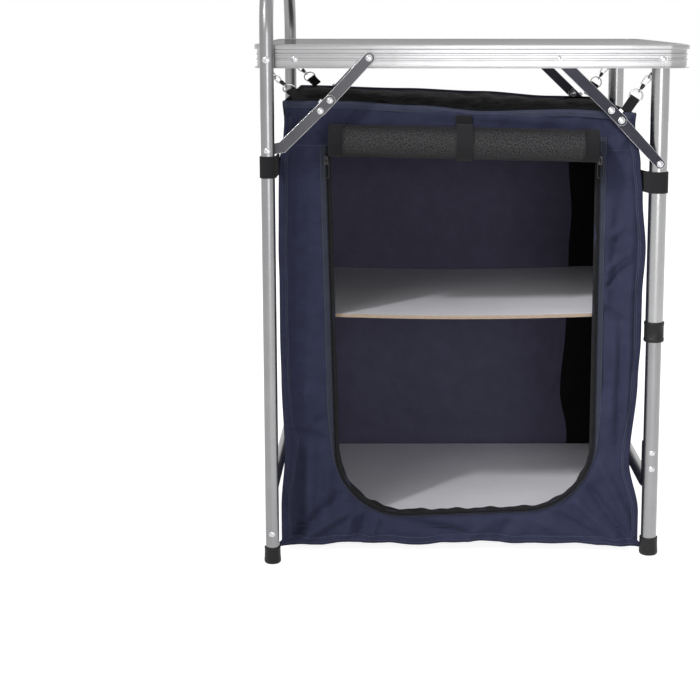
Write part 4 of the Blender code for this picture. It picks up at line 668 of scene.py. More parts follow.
def tube(shape, path, radius, steps=32, closed=False, slot=0, flare=None):
    """A round bar along a path, with eased ends; flare gives the radius share at each point."""
    path = [Vector(p) for p in path]
    ways = tangents(path, closed)
    side = ways[0].orthogonal().normalized()
    ease = radius * 0.12
    rows = []
    for index, (point, way, travelled) in enumerate(zip(path, ways, distances(path))):
        if index:
            side = (side - way * side.dot(way)).normalized()
        up = way.cross(side)
        size = radius * (flare[index] if flare else 1.0)
        places = [(size, 0.0)]
        if not closed and index == 0:
            places = [(size - ease, 0.0), (size, ease)]
        elif not closed and index == len(path) - 1:
            places = [(size, -ease), (size - ease, 0.0)]
        for wide, shift in places:
            middle = point + way * shift
            rows.append([(middle + side * x + up * y, (x, y, travelled)) for x, y in circle(wide, steps)])
    return shape.skin(rows, True, closed, slot, None if closed else slot)


def turned(shape, profile, placing, steps=40, slot=0, closed=False):
    """A turned piece from (radius, height) points; a radius of 0 stands for a flat end."""
    rows = []
    for radius, height in profile:
        if radius > 0:
            places = [Vector((x, y, height)) for x, y in circle(radius, steps)]
            rows.append([(placing @ place, tuple(place)) for place in places])
    return shape.skin(rows, True, closed, slot, None if closed else slot)


def dome(radius, rise):
    """Profile of a domed head from its rim to its middle, as (radius, height)."""
    turns = [math.pi / 2 * k / 6 for k in range(6)]
    return [(radius * math.cos(turn), rise * math.sin(turn)) for turn in turns] + [(0, rise)]


def rivet(shape, foot, outward, length, shaft=RIVET_SHAFT, head=RIVET_HEAD, slot=0):
    """A rivet with a domed head at each end, on a thin washer rim."""
    rim = RIVET_SEAT / 2
    heads = dome(head * 0.94, RIVET_DOME - rim)
    profile = [(radius, -rim - rise) for radius, rise in reversed(heads)]
    profile += [(head, -rim), (head, 0), (shaft, 0), (shaft, length), (head, length), (head, length + rim)]
    profile += [(radius, length + rim + rise) for radius, rise in heads]
    return turned(shape, profile, frame_at(foot, (0.3, 0.2, 1), outward), 28, slot)


def plate(shape, outline, thickness, placing, slot=0):
    """A flat piece from an outline of (x, y), centred on its own plane."""
    rows = []
    for z in (-thickness / 2, thickness / 2):
        marks = [(p[0], p[1], z) for p in outline]
        rows.append([(placing @ Vector(mark), mark) for mark in marks])
    return shape.skin(rows, True, slot=slot, cap_slot=slot)


def ribbon(shape, path, wide, width, thickness):
    """A flat band along a path; wide is the direction across it."""
    path = [Vector(p) for p in path]
    half, ease, lanes = width / 2, thickness / 2, 6
    inner = half - ease * 0.4
    flat = [half * (2 * k / lanes - 1) for k in range(1, lanes)]
    section = [(-inner, -ease)] + [(a, -ease) for a in flat] + [(inner, -ease), (half, 0.0)]
    section += [(inner, ease)] + [(-a, ease) for a in flat] + [(-inner, ease), (-half, 0.0)]
    rows = []
    for point, way, travelled in zip(path, tangents(path), distances(path)):
        across = Vector(wide)
        across = (across - way * across.dot(way)).normalized()
        out = way.cross(across)
        rows.append([(point + across * a + out * b, (a, b, travelled)) for a, b in section])
    return shape.skin(rows, True, cap_slot=0)


def ring_path(centre, radius, x_dir, y_dir, steps=40):
    """Points of a circle in the plane of two directions."""
    return [centre + x_dir * x + y_dir * y for x, y in circle(radius, steps)]


def stitches(shape, path):
    """A row of short stitches that lie along a path on the front wall."""
    places = even_path([Vector(p) for p in path], STITCH_PITCH)
    sink = FORWARD * STITCH_RADIUS * 0.9
    for first, second in zip(places, places[1:]):
        way = (second - first).normalized()
        middle = (first + second) / 2 + FORWARD * STITCH_RADIUS * 0.4
        half, quarter = way * STITCH_LENGTH / 2, way * STITCH_LENGTH / 4
        ends = [middle - half - sink, middle - quarter, middle + quarter, middle + half - sink]
        tube(shape, ends, STITCH_RADIUS, 6, flare=(0.5, 1.0, 1.0, 0.5))
    return shape


def show(obj):
    """Put an object in the scene."""
    bpy.context.scene.collection.objects.link(obj)
    return obj


def piece(name, shape, materials, body="frame", nodes=(), sharp=32, outward=True):
    """Make the object, ride it on its body and hide the imported parts it stands for."""
    mesh = bpy.data.meshes.new(name)
    mesh.from_pydata(shape.points, [], shape.faces)
    for surface in materials:
        mesh.materials.append(surface)
    mesh.polygons.foreach_set("material_index", shape.slots)
    grain = mesh.attributes.new("grain", "FLOAT_VECTOR", "POINT")
    grain.data.foreach_set("vector", [value for marks in shape.grain for value in marks])
    if outward:
        bm = bmesh.new()
        bm.from_mesh(mesh)
        bmesh.ops.recalc_face_normals(bm, faces=bm.faces)
        bm.to_mesh(mesh)
        bm.free()
    mesh.shade_smooth()
    mesh.set_sharp_from_angle(angle=math.radians(sharp))
    obj = show(bpy.data.objects.new(name, mesh))
    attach(obj, body)
    if nodes:
        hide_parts(*nodes)
    return obj


def cloth_piece(name, shape, materials, thickness, nodes=(), inside=0):
    """A piece of open cloth with its thickness; inside is the material step to its inner face."""
    obj = piece(name, shape, materials, nodes=nodes, sharp=180, outward=False)
    shell = obj.modifiers.new("thickness", "SOLIDIFY")
    shell.thickness = thickness
    shell.offset = 0.0
    shell.material_offset = inside
    return obj


def bevelled(obj, width, segments=2, material=-1):
    """Ease the edges of a piece."""
    bevel = obj.modifiers.new("eased_edges", "BEVEL")
    bevel.width = width
    bevel.segments = segments
    bevel.limit_method = "ANGLE"
    bevel.angle_limit = math.radians(40)
    bevel.material = material
    return obj


# Worktop


def rail_section():
    """Section of the rail as (outward, height) from the web's face and the top edge, corners eased."""
    ledge_top = -(BOARD_SINK + BOARD_THICKNESS + FIT)
    points = [(0, 0), (RAIL_LIP_OUT, 0), (RAIL_LIP_OUT, -RAIL_LIP_HEIGHT), (0, -RAIL_LIP_HEIGHT)]
    radii = [0.0005, 0.0016, 0.0012, 0.0004]
    for drop in RAIL_RIB_DROPS:
        points += [
            (0, -drop), (RAIL_RIB_OUT, -drop),
            (RAIL_RIB_OUT, -drop - RAIL_RIB_HEIGHT), (0, -drop - RAIL_RIB_HEIGHT),
        ]
        radii += [0.0003, 0.0004, 0.0004, 0.0003]
    points += [
        (0, -RAIL_HEIGHT + RAIL_WALL), (RAIL_LIP_OUT, -RAIL_HEIGHT + RAIL_WALL),
        (RAIL_LIP_OUT, -RAIL_HEIGHT), (-RAIL_WALL, -RAIL_HEIGHT),
        (-RAIL_WALL, ledge_top - RAIL_WALL), (-RAIL_LEDGE, ledge_top - RAIL_WALL),
        (-RAIL_LEDGE, ledge_top), (-RAIL_WALL, ledge_top), (-RAIL_WALL, 0),
    ]
    radii += [0.0004, 0.0006, 0.0006, 0.0005, 0.0003, 0.0004, 0.0004, 0.0003, 0.0005]
    return rounded([(a, b, 0) for a, b in points], radii, 3, closed=True)


def worktop_path(inset, steps):
    """Outline of the worktop, a distance inside the web's face, turning left seen from above."""
    x, y = RAIL_FACE_X - inset, RAIL_FACE_Y - inset
    corners = [(x, -y, 0), (x, y, 0), (-x, y, 0), (-x, -y, 0)]
    return rounded(corners, [RAIL_CORNER_RADIUS - inset] * 4, steps, closed=True)


def make_worktop():
    """The bent rail with its rivets, and the laminated board in it."""
    path, section = worktop_path(0, 18), rail_section()
    rows = []
    for point, way, travelled in zip(path, tangents(path, closed=True), distances(path)):
        row = []
        for p in section:
            place = Vector((point.x + way.y * p.x, point.y - way.x * p.x, WORKTOP_HEIGHT + p.y))
            row.append((place, (p.x, p.y, travelled)))
        rows.append(row)
    shape = Shape().skin(rows, True, True)
    for side, _ in SIDES:
        foot = (RAIL_RIVET_X, side * RAIL_INNER_Y, PIVOT_HEIGHT)
        rivet(shape, foot, (0, side, 0), RAIL_WALL, slot=1)
    piece("rail", shape, [RAIL, RIVETS], nodes=["rail_frame"], sharp=24)

    centre = WORKTOP_HEIGHT - BOARD_SINK - BOARD_THICKNESS / 2
    placing = Matrix.Translation((0, 0, centre))
    board = plate(Shape(), worktop_path(RAIL_WALL + FIT, 12), BOARD_THICKNESS, placing)
    top = piece("laminated_board", board, [LAMINATE], nodes=["worktop_board"])
    bevelled(top, 0.0009, 3)


# Legs


def make_foot(name, x, y, tube_radius, height, body):
    """A black cap on a leg: a rolled rim, a waist line and a rounded, slightly flared sole."""
    inner = tube_radius + FIT
    outer = inner + FOOT_WALL
    profile = [
        (0, FOOT_FLOOR), (inner, FOOT_FLOOR), (inner, height - 0.0006),
        (inner + 0.0004, height), (outer - 0.0003, height), (outer + 0.0002, height - 0.0008),
        (outer - 0.0001, height - 0.0024), (outer + 0.0001, height * 0.45), (outer + 0.0005, 0.0062),
        (outer + 0.0006, 0.0035), (outer + 0.0001, 0.0016), (outer - 0.0010, 0.0005),
        (outer - 0.0026, 0), (0, 0),
    ]
    shape = turned(Shape(), profile, Matrix.Translation((x, y, 0)), 48)
    piece(name + "_cap", shape, [PLASTIC], body, [name], sharp=50)


def add_pivot(shape, x, side, start, end, spacer_start, spacer_end):
    """A leg's pivot bolt along Y with its spacer; distances are from the middle plane."""
    rivet(shape, (x, side * start, PIVOT_HEIGHT), (0, side, 0), end - start, PIVOT_SHAFT, PIVOT_HEAD, slot=1)
    low, high = sorted((spacer_start, spacer_end))
    ends = [Vector((x, side * y, PIVOT_HEIGHT)) for y in (low, high)]
    tube(shape, ends, SPACER_RADIUS, 28, slot=1)


def make_left_legs():
    """The hoop with its bolts and rivets, its cross bar and its feet."""
    base = FOOT_FLOOR + FIT
    corners = [
        (HOOP_X, -LEFT_LEG_Y, base), (HOOP_X, -LEFT_LEG_Y, HOOP_TOP),
        (HOOP_X, LEFT_LEG_Y, HOOP_TOP), (HOOP_X, LEFT_LEG_Y, base),
    ]
    path = rounded(corners, [0, HOOP_BEND, HOOP_BEND, 0], 28, closed=False)
    shape = tube(Shape(), path, HOOP_RADIUS, 48)
    inside, outside = LEFT_LEG_Y - HOOP_RADIUS, LEFT_LEG_Y + HOOP_RADIUS - RIVET_SEAT
    for side, tag in SIDES:
        spacer = (RAIL_RIB_Y + FIT, inside + SPACER_SEAT)
        add_pivot(shape, HOOP_X, side, RAIL_INNER_Y - PIVOT_TIP, outside, *spacer)
        brace_end = WORKTOP_DEPTH / 2 + LINK_THICKNESS + FIT
        foot = (HOOP_X, side * brace_end, LEFT_BRACE_LEG[1])
        rivet(shape, foot, (0, side, 0), outside - brace_end, slot=1)
        foot = (HOOP_X, side * (inside + RIVET_SEAT), HOOP_FOOT_RIVET_HEIGHT)
        rivet(shape, foot, (0, side, 0), outside - inside - RIVET_SEAT, slot=1)
        make_foot("left_foot_" + tag, HOOP_X, side * LEFT_LEG_Y, HOOP_RADIUS, LEFT_FOOT_HEIGHT, "frame")
    reach = inside - FIT
    bar = [Vector((HOOP_X, y, HOOP_CROSS_HEIGHT)) for y in (-reach, reach)]
    piece("left_bar", tube(Shape(), bar, HOOP_CROSS_RADIUS, 40), [TUBE],
          nodes=["left_cross_bar"])
    return shape


def straight_tube(x, y, low, high, radius, wall):
    """An upright tube with open ends, hollow for a short way in."""
    lip = wall / 3
    depth = radius * 2
    profile = [
        (radius - wall, low + depth), (radius - wall, low + lip), (radius - wall + lip, low),
        (radius - lip, low), (radius, low + lip), (radius, high - lip), (radius - lip, high),
        (radius - wall + lip, high), (radius - wall, high - lip), (radius - wall, high - depth),
    ]
    return turned(Shape(), profile, Matrix.Translation((x, y, 0)), 48, closed=True)


def make_upper_tube(side):
    """An upper tube with its pivot bolt and the rivet of its brace; the piece is made after the hooks."""
    low = COLLAR_BOTTOM + COLLAR_STEP + FIT
    shape = straight_tube(RIGHT_LEG_X, side * RIGHT_LEG_Y, low, UPPER_TOP, UPPER_RADIUS, UPPER_WALL)
    outside = RIGHT_LEG_Y + UPPER_RADIUS
    inside = RIGHT_LEG_Y - UPPER_RADIUS + RIVET_SEAT
    spacer = (outside - UPPER_WALL, RAIL_INNER_Y - FIT)
    add_pivot(shape, RIGHT_LEG_X, side, inside, RAIL_RIB_Y + FIT, *spacer)
    foot = (RIGHT_LEG_X, side * inside, RIGHT_BRACE_LEG[1])
    return rivet(shape, foot, (0, side, 0), outside + LINK_THICKNESS + 2 * FIT - inside, slot=1)


def make_collar(y, tag):
    """The collar at the telescope joint: a grooved ring with a step under the upper tube."""
    wide, narrow = UPPER_RADIUS + FIT, LOWER_RADIUS + FIT
    outer = wide + COLLAR_WALL
    profile = [
        (narrow, 0.0006), (narrow, COLLAR_STEP), (wide, COLLAR_STEP), (wide, COLLAR_HEIGHT - 0.0006),
        (wide + 0.0005, COLLAR_HEIGHT), (outer - 0.0004, COLLAR_HEIGHT), (outer, COLLAR_HEIGHT - 0.0006),
        (outer, COLLAR_HEIGHT - 0.0042), (outer - 0.0005, COLLAR_HEIGHT - 0.0048),
        (outer - 0.0005, 0.0054), (outer, 0.0048), (outer, 0.0012), (outer - 0.0009, 0),
        (narrow + 0.0006, 0),
    ]
    placing = Matrix.Translation((RIGHT_LEG_X, y, COLLAR_BOTTOM))
    collar = turned(Shape(), profile, placing, 48, closed=True)
    piece("collar_ring_" + tag, collar, [PLASTIC], nodes=["collar_" + tag], sharp=50)


def make_lower_tube(side, tag):
    """A sliding lower tube with the two rivets of the cross bar."""
    low, high = FOOT_FLOOR + FIT, COLLAR_BOTTOM + LOWER_OVERLAP
    shape = straight_tube(RIGHT_LEG_X, side * RIGHT_LEG_Y, low, high, LOWER_RADIUS, LOWER_WALL)
    end = RIGHT_LEG_Y + LOWER_RADIUS - RIVET_SEAT
    start = CROSS_BAR_Y - CROSS_BAR_RADIUS - FIT
    for height in CROSS_BAR_RIVET_HEIGHTS:
        rivet(shape, (RIGHT_LEG_X, side * start, height), (0, side, 0), end - start, slot=1)
    piece("lower_tube_" + tag, shape, [TUBE, RIVETS], "right_lower_legs",
          ["right_lower_tube_" + tag])


def make_right_legs():
    """Upper tubes, collars, sliding lower tubes, feet and the bent bar between them."""
    uppers = {}
    for side, tag in SIDES:
        y = side * RIGHT_LEG_Y
        uppers[side] = make_upper_tube(side)
        make_collar(y, tag)
        make_lower_tube(side, tag)
        make_foot("right_foot_" + tag, RIGHT_LEG_X, y, LOWER_RADIUS, RIGHT_FOOT_HEIGHT, "right_lower_legs")
    top = CROSS_BAR_RIVET_HEIGHTS[0] + CROSS_BAR_END_REACH
    corners = [
        (RIGHT_LEG_X, -CROSS_BAR_Y, top), (RIGHT_LEG_X, -CROSS_BAR_Y, CROSS_BAR_HEIGHT),
        (RIGHT_LEG_X, CROSS_BAR_Y, CROSS_BAR_HEIGHT), (RIGHT_LEG_X, CROSS_BAR_Y, top),
    ]
    path = rounded(corners, [0, CROSS_BAR_BEND, CROSS_BAR_BEND, 0], 20, closed=False)
    piece("right_bar", tube(Shape(), path, CROSS_BAR_RADIUS, 40), [TUBE], "right_lower_legs",
          ["right_cross_bar"])
    return uppers


# Knee braces


def round_end(centre, arm, steps):
    """Half a circle round a centre, turning left from the arm."""
    points = []
    for k in range(steps + 1):
        angle = math.pi * k / steps
        cos, sin = math.cos(angle), math.sin(angle)
        points.append(centre + Vector((arm.x * cos - arm.y * sin, arm.x * sin + arm.y * cos, 0)))
    return points


def bar_outline(start, bend, end, half_width, end_half_width, steps):
    """Outline of a flat bar with round ends that bends at one point of its centre line."""
    first, last = (bend - start).normalized(), (end - bend).normalized()
    left_first = Vector((-first.y, first.x, 0))
    left_last = Vector((-last.y, last.x, 0))
    mitre = (left_first + left_last).normalized()
    reach = half_width / mitre.dot(left_first)
    points = round_end(start, left_first * half_width, steps)
    points.append(bend - mitre * reach)
    points += round_end(end, -left_last * end_half_width, steps)
    points.append(bend + mitre * reach)
    return points


def link_plate(shape, path, layer, side, end_half_width=LINK_HALF_WIDTH):
    """One brace link along three points of the XZ plane; layer is its distance from the middle."""
    start, bend, end = (Vector((x, side * layer, z)) for x, z in path)
    placing = frame_at(start, bend - start, (0, side, 0))
    inverse = placing.inverted()
    outline = bar_outline(
        inverse @ start, inverse @ bend, inverse @ end, LINK_HALF_WIDTH, end_half_width, 16
    )
    return plate(shape, outline, LINK_THICKNESS, placing)


def add_pin(pins, place, low, high, side):
    """A rivet through both links of a knee, its heads on their outer faces."""
    rivet(pins, (place[0], side * low, place[1]), (0, side, 0), high - low)


def make_brace(hand, side, tag):
    """A knee brace: an upper link on the rail, a lower link on the leg, their rivets and stop lug."""
    left = hand == "left"
    rail_at = LEFT_BRACE_RAIL if left else RIGHT_BRACE_RAIL
    knee_at = LEFT_BRACE_KNEE if left else RIGHT_BRACE_KNEE
    leg_at = LEFT_BRACE_LEG if left else RIGHT_BRACE_LEG
    bend_at = LEFT_BRACE_BEND if left else tuple((Vector(knee_at) + Vector(leg_at)) / 2)
    step, half = LINK_THICKNESS + FIT, LINK_THICKNESS / 2
    near_rail = WORKTOP_DEPTH / 2 + FIT + half if left else RAIL_INNER_Y - FIT - half
    near_leg = near_rail + step if left else near_rail - step
    along = (Vector(knee_at) - Vector(rail_at)).normalized()
    stop_at = tuple(Vector(knee_at) + along * LINK_TAIL)
    name = "%s_%s" % (hand, tag)

    upper = link_plate(Shape(), (rail_at, knee_at, stop_at), near_rail, side)
    add_lug(upper, rail_at, knee_at, bend_at, side * near_rail, side if left else -side)
    face = BRACE if left else DARK_BRACE
    obj = piece("upper_link_" + name, upper, [face, BRIGHT],
                nodes=["brace_upper_" + name])
    bevelled(obj, 0.0005, 2, material=1)

    lower = link_plate(Shape(), (knee_at, bend_at, leg_at), near_leg, side, BRACE_LEG_HALF_WIDTH)
    obj = piece("lower_link_" + name, lower, [face, BRIGHT],
                nodes=["brace_lower_" + name])
    bevelled(obj, 0.0005, 2, material=1)

    pins = Shape()
    foot_y = RAIL_INNER_Y - FIT if left else near_rail - half
    head_y = near_rail + half if left else RAIL_RIB_Y + FIT
    add_pin(pins, rail_at, foot_y, head_y, side)
    low, high = sorted((near_rail, near_leg))
    for place in (knee_at, stop_at):
        add_pin(pins, place, low - half, high + half, side)
    piece("brace_rivets_" + name, pins, [RIVETS])


def add_lug(shape, rail_at, knee_at, bend_at, y, toward):
    """The bent lug on the upper link that the lower link comes up against."""
    rail_end, knee, bend = (Vector((x, y, z)) for x, z in (rail_at, knee_at, bend_at))
    along = (knee - rail_end).normalized()
    across = Vector((-along.z, 0, along.x))
    if across.z < 0:
        across = -across
    clear = LINK_TAIL * math.sin(along.angle(bend - knee)) + FIT
    half = LINK_THICKNESS / 2
    root = LINK_HALF_WIDTH - RIVET_SEAT
    face = LINK_HALF_WIDTH + clear
    back = face + LUG_THICKNESS
    tip = half + FIT + LINK_THICKNESS
    section = [(root, -half), (back, -half), (back, tip), (face, tip), (face, half), (root, half)]
    outward = Vector((0, toward, 0))
    placing = frame_at(knee + along * LINK_TAIL / 2, across, across.cross(outward))
    plate(shape, section, LUG_LENGTH, placing, slot=1)


# Cloth walls


def height_at(u, share, rear=False):
    """Height of a wall at a share of the width and a share of its own height."""
    hem = CUPBOARD_BOTTOM - HEM_HANG + HEM_RISE * lookup(HEM_SHARES, u)
    hem += HEM_WAVE * math.sin(11 * math.pi * u + 1.2) * math.sin(4 * math.pi * u)
    top = CUPBOARD_TOP - TOP_DROP * lookup(REAR_TOP_SHARES if rear else TOP_EDGE_SHARES, u)
    return hem + (top - hem) * share


def sway(table, z):
    """Sway of a side wall at a height."""
    return EDGE_SWAY * lookup(table, (z - CUPBOARD_BOTTOM) / CUPBOARD_HEIGHT)


def left_edge(z):
    """X of the left wall at a height."""
    return -CUPBOARD_LEFT - sway(LEFT_EDGE_SHARES, z)


def right_edge(z):
    """X of the right wall at a height."""
    return CUPBOARD_RIGHT + sway(RIGHT_EDGE_SHARES, z)


def across_at(u, z, margin=0.0):
    """X at a share of the way between the side walls, a margin inside both."""
    low, high = left_edge(z) + margin, right_edge(z) - margin
    return low + (high - low) * u


def swell(turns):
    """A wave between 1 and 0 that is 1 after each whole turn."""
    return 0.5 + 0.5 * math.cos(2 * math.pi * turns)


def opening_outline():
    """The door opening's outline in the front wall's plane, as (x, z, 0)."""
    corners = [
        (OPENING_LEFT_TOP, OPENING_TOP, 0), (OPENING_LEFT_BOTTOM, OPENING_BOTTOM_LEFT, 0),
        (OPENING_RIGHT, OPENING_BOTTOM_RIGHT, 0), (OPENING_RIGHT, OPENING_TOP, 0),
    ]
    radii = [OPENING_TOP_RADIUS, OPENING_RADIUS, OPENING_RADIUS, OPENING_TOP_RADIUS]
    return rounded(corners, radii, 24, closed=True)


def zip_outline(margin=ZIP_EDGE, top=ZIP_TOP, steps=24):
    """A line round the opening: down the left, round the bottom and up the right, as (x, z, 0)."""
    top_left = Vector((OPENING_LEFT_TOP - margin, OPENING_TOP + margin, 0))
    low_left = Vector((OPENING_LEFT_BOTTOM - margin, OPENING_BOTTOM_LEFT - margin, 0))
    low_right = Vector((OPENING_RIGHT + margin, OPENING_BOTTOM_RIGHT - margin, 0))
    first = top_left.lerp(low_left, (top_left.y - top) / (top_left.y - low_left.y))
    last = Vector((low_right.x, top, 0))
    radius = OPENING_RADIUS + margin
    return rounded([first, low_left, low_right, last], [0, radius, radius, 0], steps, closed=False)


ZIP_LINE = zip_outline()
ZIP_COARSE = zip_outline(steps=8)
OPENING = opening_outline()


def nearest_on(line, here, closed=False):
    """The point of a line nearest to a place."""
    best, found = 1e9, here
    ends = line[1:] + (line[:1] if closed else [])
    for first, second in zip(line, ends):
        along = second - first
        share = min(max((here - first).dot(along) / max(along.length_squared, 1e-12), 0), 1)
        place = first + along * share
        distance = (here - place).length
        if distance < best:
            best, found = distance, place
    return found, best


def in_outline(outline, x, z):
    """Whether a place is inside a closed outline."""
    inside = False
    for first, second in zip(outline, outline[1:] + outline[:1]):
        if (first.y > z) != (second.y > z):
            if x < first.x + (second.x - first.x) * (z - first.y) / (second.y - first.y):
                inside = not inside
    return inside


def fold_relief(folds, x, z):
    """Height of the listed folds at a place: each is a soft ridge that fades at its ends."""
    total = 0.0
    for x0, z0, x1, z1, width, height in folds:
        run_x, run_z = x1 - x0, z1 - z0
        length = run_x * run_x + run_z * run_z
        share = ((x - x0) * run_x + (z - z0) * run_z) / length
        if not -0.25 < share < 1.25:
            continue
        off = abs((x - x0) * run_z - (z - z0) * run_x) / math.sqrt(length)
        if off > 3 * width:
            continue
        ends = smooth_share((share + 0.25) / 0.4) * smooth_share((1.25 - share) / 0.4)
        total += height * ends * math.exp(-(off / width) ** 2)
    return total


def crumple(x, z, seed, scale, depth):
    """Small soft wrinkles at a place."""
    coarse = noise.noise(Vector((x * scale, z * scale * 0.55, seed)))
    fine = noise.noise(Vector((x * scale * 3.1, z * scale * 2.0, seed + 7.0)))
    return depth * (coarse + 0.35 * fine)


def front_relief(x, z, u):
    """How far the front wall stands out of its plane at a place."""
    distance = nearest_on(ZIP_COARSE, Vector((x, z, 0)))[1]
    width = right_edge(z) - left_edge(z)
    seam = min(u, 1 - u) * width
    calm = smooth_share((distance - 0.003) / 0.014) * smooth_share((seam - 0.003) / 0.012)
    if in_outline(OPENING, x, z):
        calm = 0.0
    hem = smooth_share((0.050 - z) / 0.035) * smooth_share((seam - 0.004) / 0.03)
    flare = 0.0036 * hem * swell(4 * u + 0.1)
    billow = 0.0030 * calm * swell(2.2 * z / 0.2 + 0.8 * u)
    edge = 0.0009 * noise.noise(Vector((x * 60, z * 42, 3.0))) * smooth_share(seam / 0.01)
    folds = FOLD_STRENGTH * fold_relief(FRONT_FOLDS, x, z)
    return calm * (folds + crumple(x, z, 1.0, 30, 0.0024)) + flare + billow + edge


def front_at(u, v):
    """A point of the front wall."""
    z = height_at(u, v)
    x = across_at(u, z)
    return Vector((x, -CUPBOARD_FRONT - front_relief(x, z, u), z))


def grid(point_at, across, up, width, height):
    """Rows of points of a sheet with their flat coordinates in metres."""
    rows = []
    for r in range(up + 1):
        v = r / up
        row = [(point_at(c / across, v), (width * c / across, height * v, 0.0)) for c in range(across + 1)]
        rows.append(row)
    return rows


def make_front_wall():
    """The front wall, with the door opening cut along its outline."""
    shape = Shape().skin(grid(front_at, *FRONT_CELLS, CUPBOARD_WIDTH, CUPBOARD_HEIGHT))
    inside = [in_outline(OPENING, p.x, p.z) for p in shape.points]
    kept, border = [], set()
    for face in shape.faces:
        count = sum(inside[k] for k in face)
        middle = sum((shape.points[k] for k in face), Vector()) / 4
        if count == 4 or (count and in_outline(OPENING, middle.x, middle.z)):
            border.update(face)
        else:
            kept.append(face)
    used = sorted({k for face in kept for k in face})
    for k in border.intersection(used):
        point = shape.points[k]
        place = nearest_on(OPENING, Vector((point.x, point.z, 0)), closed=True)[0]
        shape.points[k] = Vector((place.x, point.y, place.y))
    number = {old: new for new, old in enumerate(used)}
    shape.points = [shape.points[k] for k in used]
    shape.grain = [shape.grain[k] for k in used]
    shape.faces = [tuple(number[k] for k in face) for face in kept]
    shape.slots = [0] * len(kept)
    wall = cloth_piece("front_wall", shape, [NAVY, LINING_AND_SHADE], WALL_THICKNESS, ["front_panel"])
    area = CUPBOARD_WIDTH * CUPBOARD_HEIGHT - abs(polygon_area(OPENING))
    return wall


def polygon_area(outline):
    """Signed area of a closed outline."""
    pairs = zip(outline, outline[1:] + outline[:1])
    return sum(a.x * b.y - b.x * a.y for a, b in pairs) / 2


def board_calm(z):
    """0 where a board or a strap stretches the cloth, 1 between them."""
    heights = (FLOOR_BOARD_TOP, SHELF_TOP, LEFT_STRAP_HEIGHT, CUPBOARD_TOP)
    return min(smooth_share((abs(z - height) - 0.018) / 0.05) for height in heights)


def side_at(edge, inward, u, v):
    """A point of a side wall; u runs from the front wall to the back wall."""
    front, back = -CUPBOARD_FRONT + WALL_CLEAR, CUPBOARD_BACK - WALL_CLEAR
    y = front + (back - front) * u
    across = 0 if inward > 0 else 1
    low = height_at(across, 0)
    high = height_at(across, 1) * (1 - u) + height_at(across, 1, rear=True) * u
    z = low + (high - low) * v
    calm = smooth_share((min(u, 1 - u) * (back - front) - 0.006) / 0.05) * board_calm(z)
    sink = 0.0075 * swell(3.5 * u + 0.5 * v + 0.15)
    sink += 0.5 * abs(crumple(y, z, 4.0 + across, 22, 0.006))
    return Vector((edge(z) + inward * (calm * sink + 0.0004), y, z))


def back_at(u, v):
    """A point of the back wall."""
    z = height_at(u, v, rear=True)
    low, high = left_edge(z), right_edge(z)
    x = low + (high - low) * u
    calm = smooth_share((min(u, 1 - u) * (high - low) - 0.006) / 0.05) * board_calm(z)
    sink = 0.006 * swell(3.5 * u + 0.7 * v + 0.2)
    sink += 0.5 * abs(crumple(x, z, 9.0, 20, 0.005))
    return Vector((x, CUPBOARD_BACK - calm * sink, z))


def top_at(u, v):
    """A point of the sunk top panel, bunched along its edges."""
    front, back = -CUPBOARD_FRONT + WALL_CLEAR, CUPBOARD_BACK - WALL_CLEAR
    y = front + (back - front) * v
    z = height_at(u, 1) * (1 - v) + height_at(u, 1, rear=True) * v - TOP_PANEL_SINK
    z -= TOP_PANEL_SAG * math.sin(math.pi * u) * math.sin(math.pi * v)
    edge = smooth_share(min(u, 1 - u, v, 1 - v) / 0.05)
    z += edge * crumple(u * 0.5, v * 0.42, 14.0, 34, 0.0030)
    z += 0.0016 * edge * math.sin(2 * math.pi * (9 * u + 1.3 * math.sin(5 * v)))
    return Vector((across_at(u, z, CLOTH / 2 + 2 * FIT), y, z))


def floor_at(u, v):
    """A point of the cloth floor under the floor board."""
    z = FLOOR_BOARD_TOP - FLOOR_BOARD_THICKNESS - FIT - CLOTH / 2
    front, back = -CUPBOARD_FRONT + WALL_CLEAR, CUPBOARD_BACK - WALL_CLEAR
    sag = 0.004 * math.sin(math.pi * u) * math.sin(math.pi * v)
    sag += abs(crumple(u, v, 21.0, 9, 0.0022)) * smooth_share(min(u, 1 - u, v, 1 - v) / 0.06)
    return Vector((across_at(u, z, WALL_CLEAR), front + (back - front) * v, z - sag))


def cloth(name, point_at, cells, flat, materials, nodes, thickness=WALL_THICKNESS, zones=0):
    """A cloth wall laid over a surface; a second material covers its other face."""
    shape = Shape().skin(grid(point_at, *cells, *flat), slot=zones)
    inside = 1 if len(materials) > 1 else 0
    wall = cloth_piece(name, shape, materials, thickness, nodes, inside)
    return wall


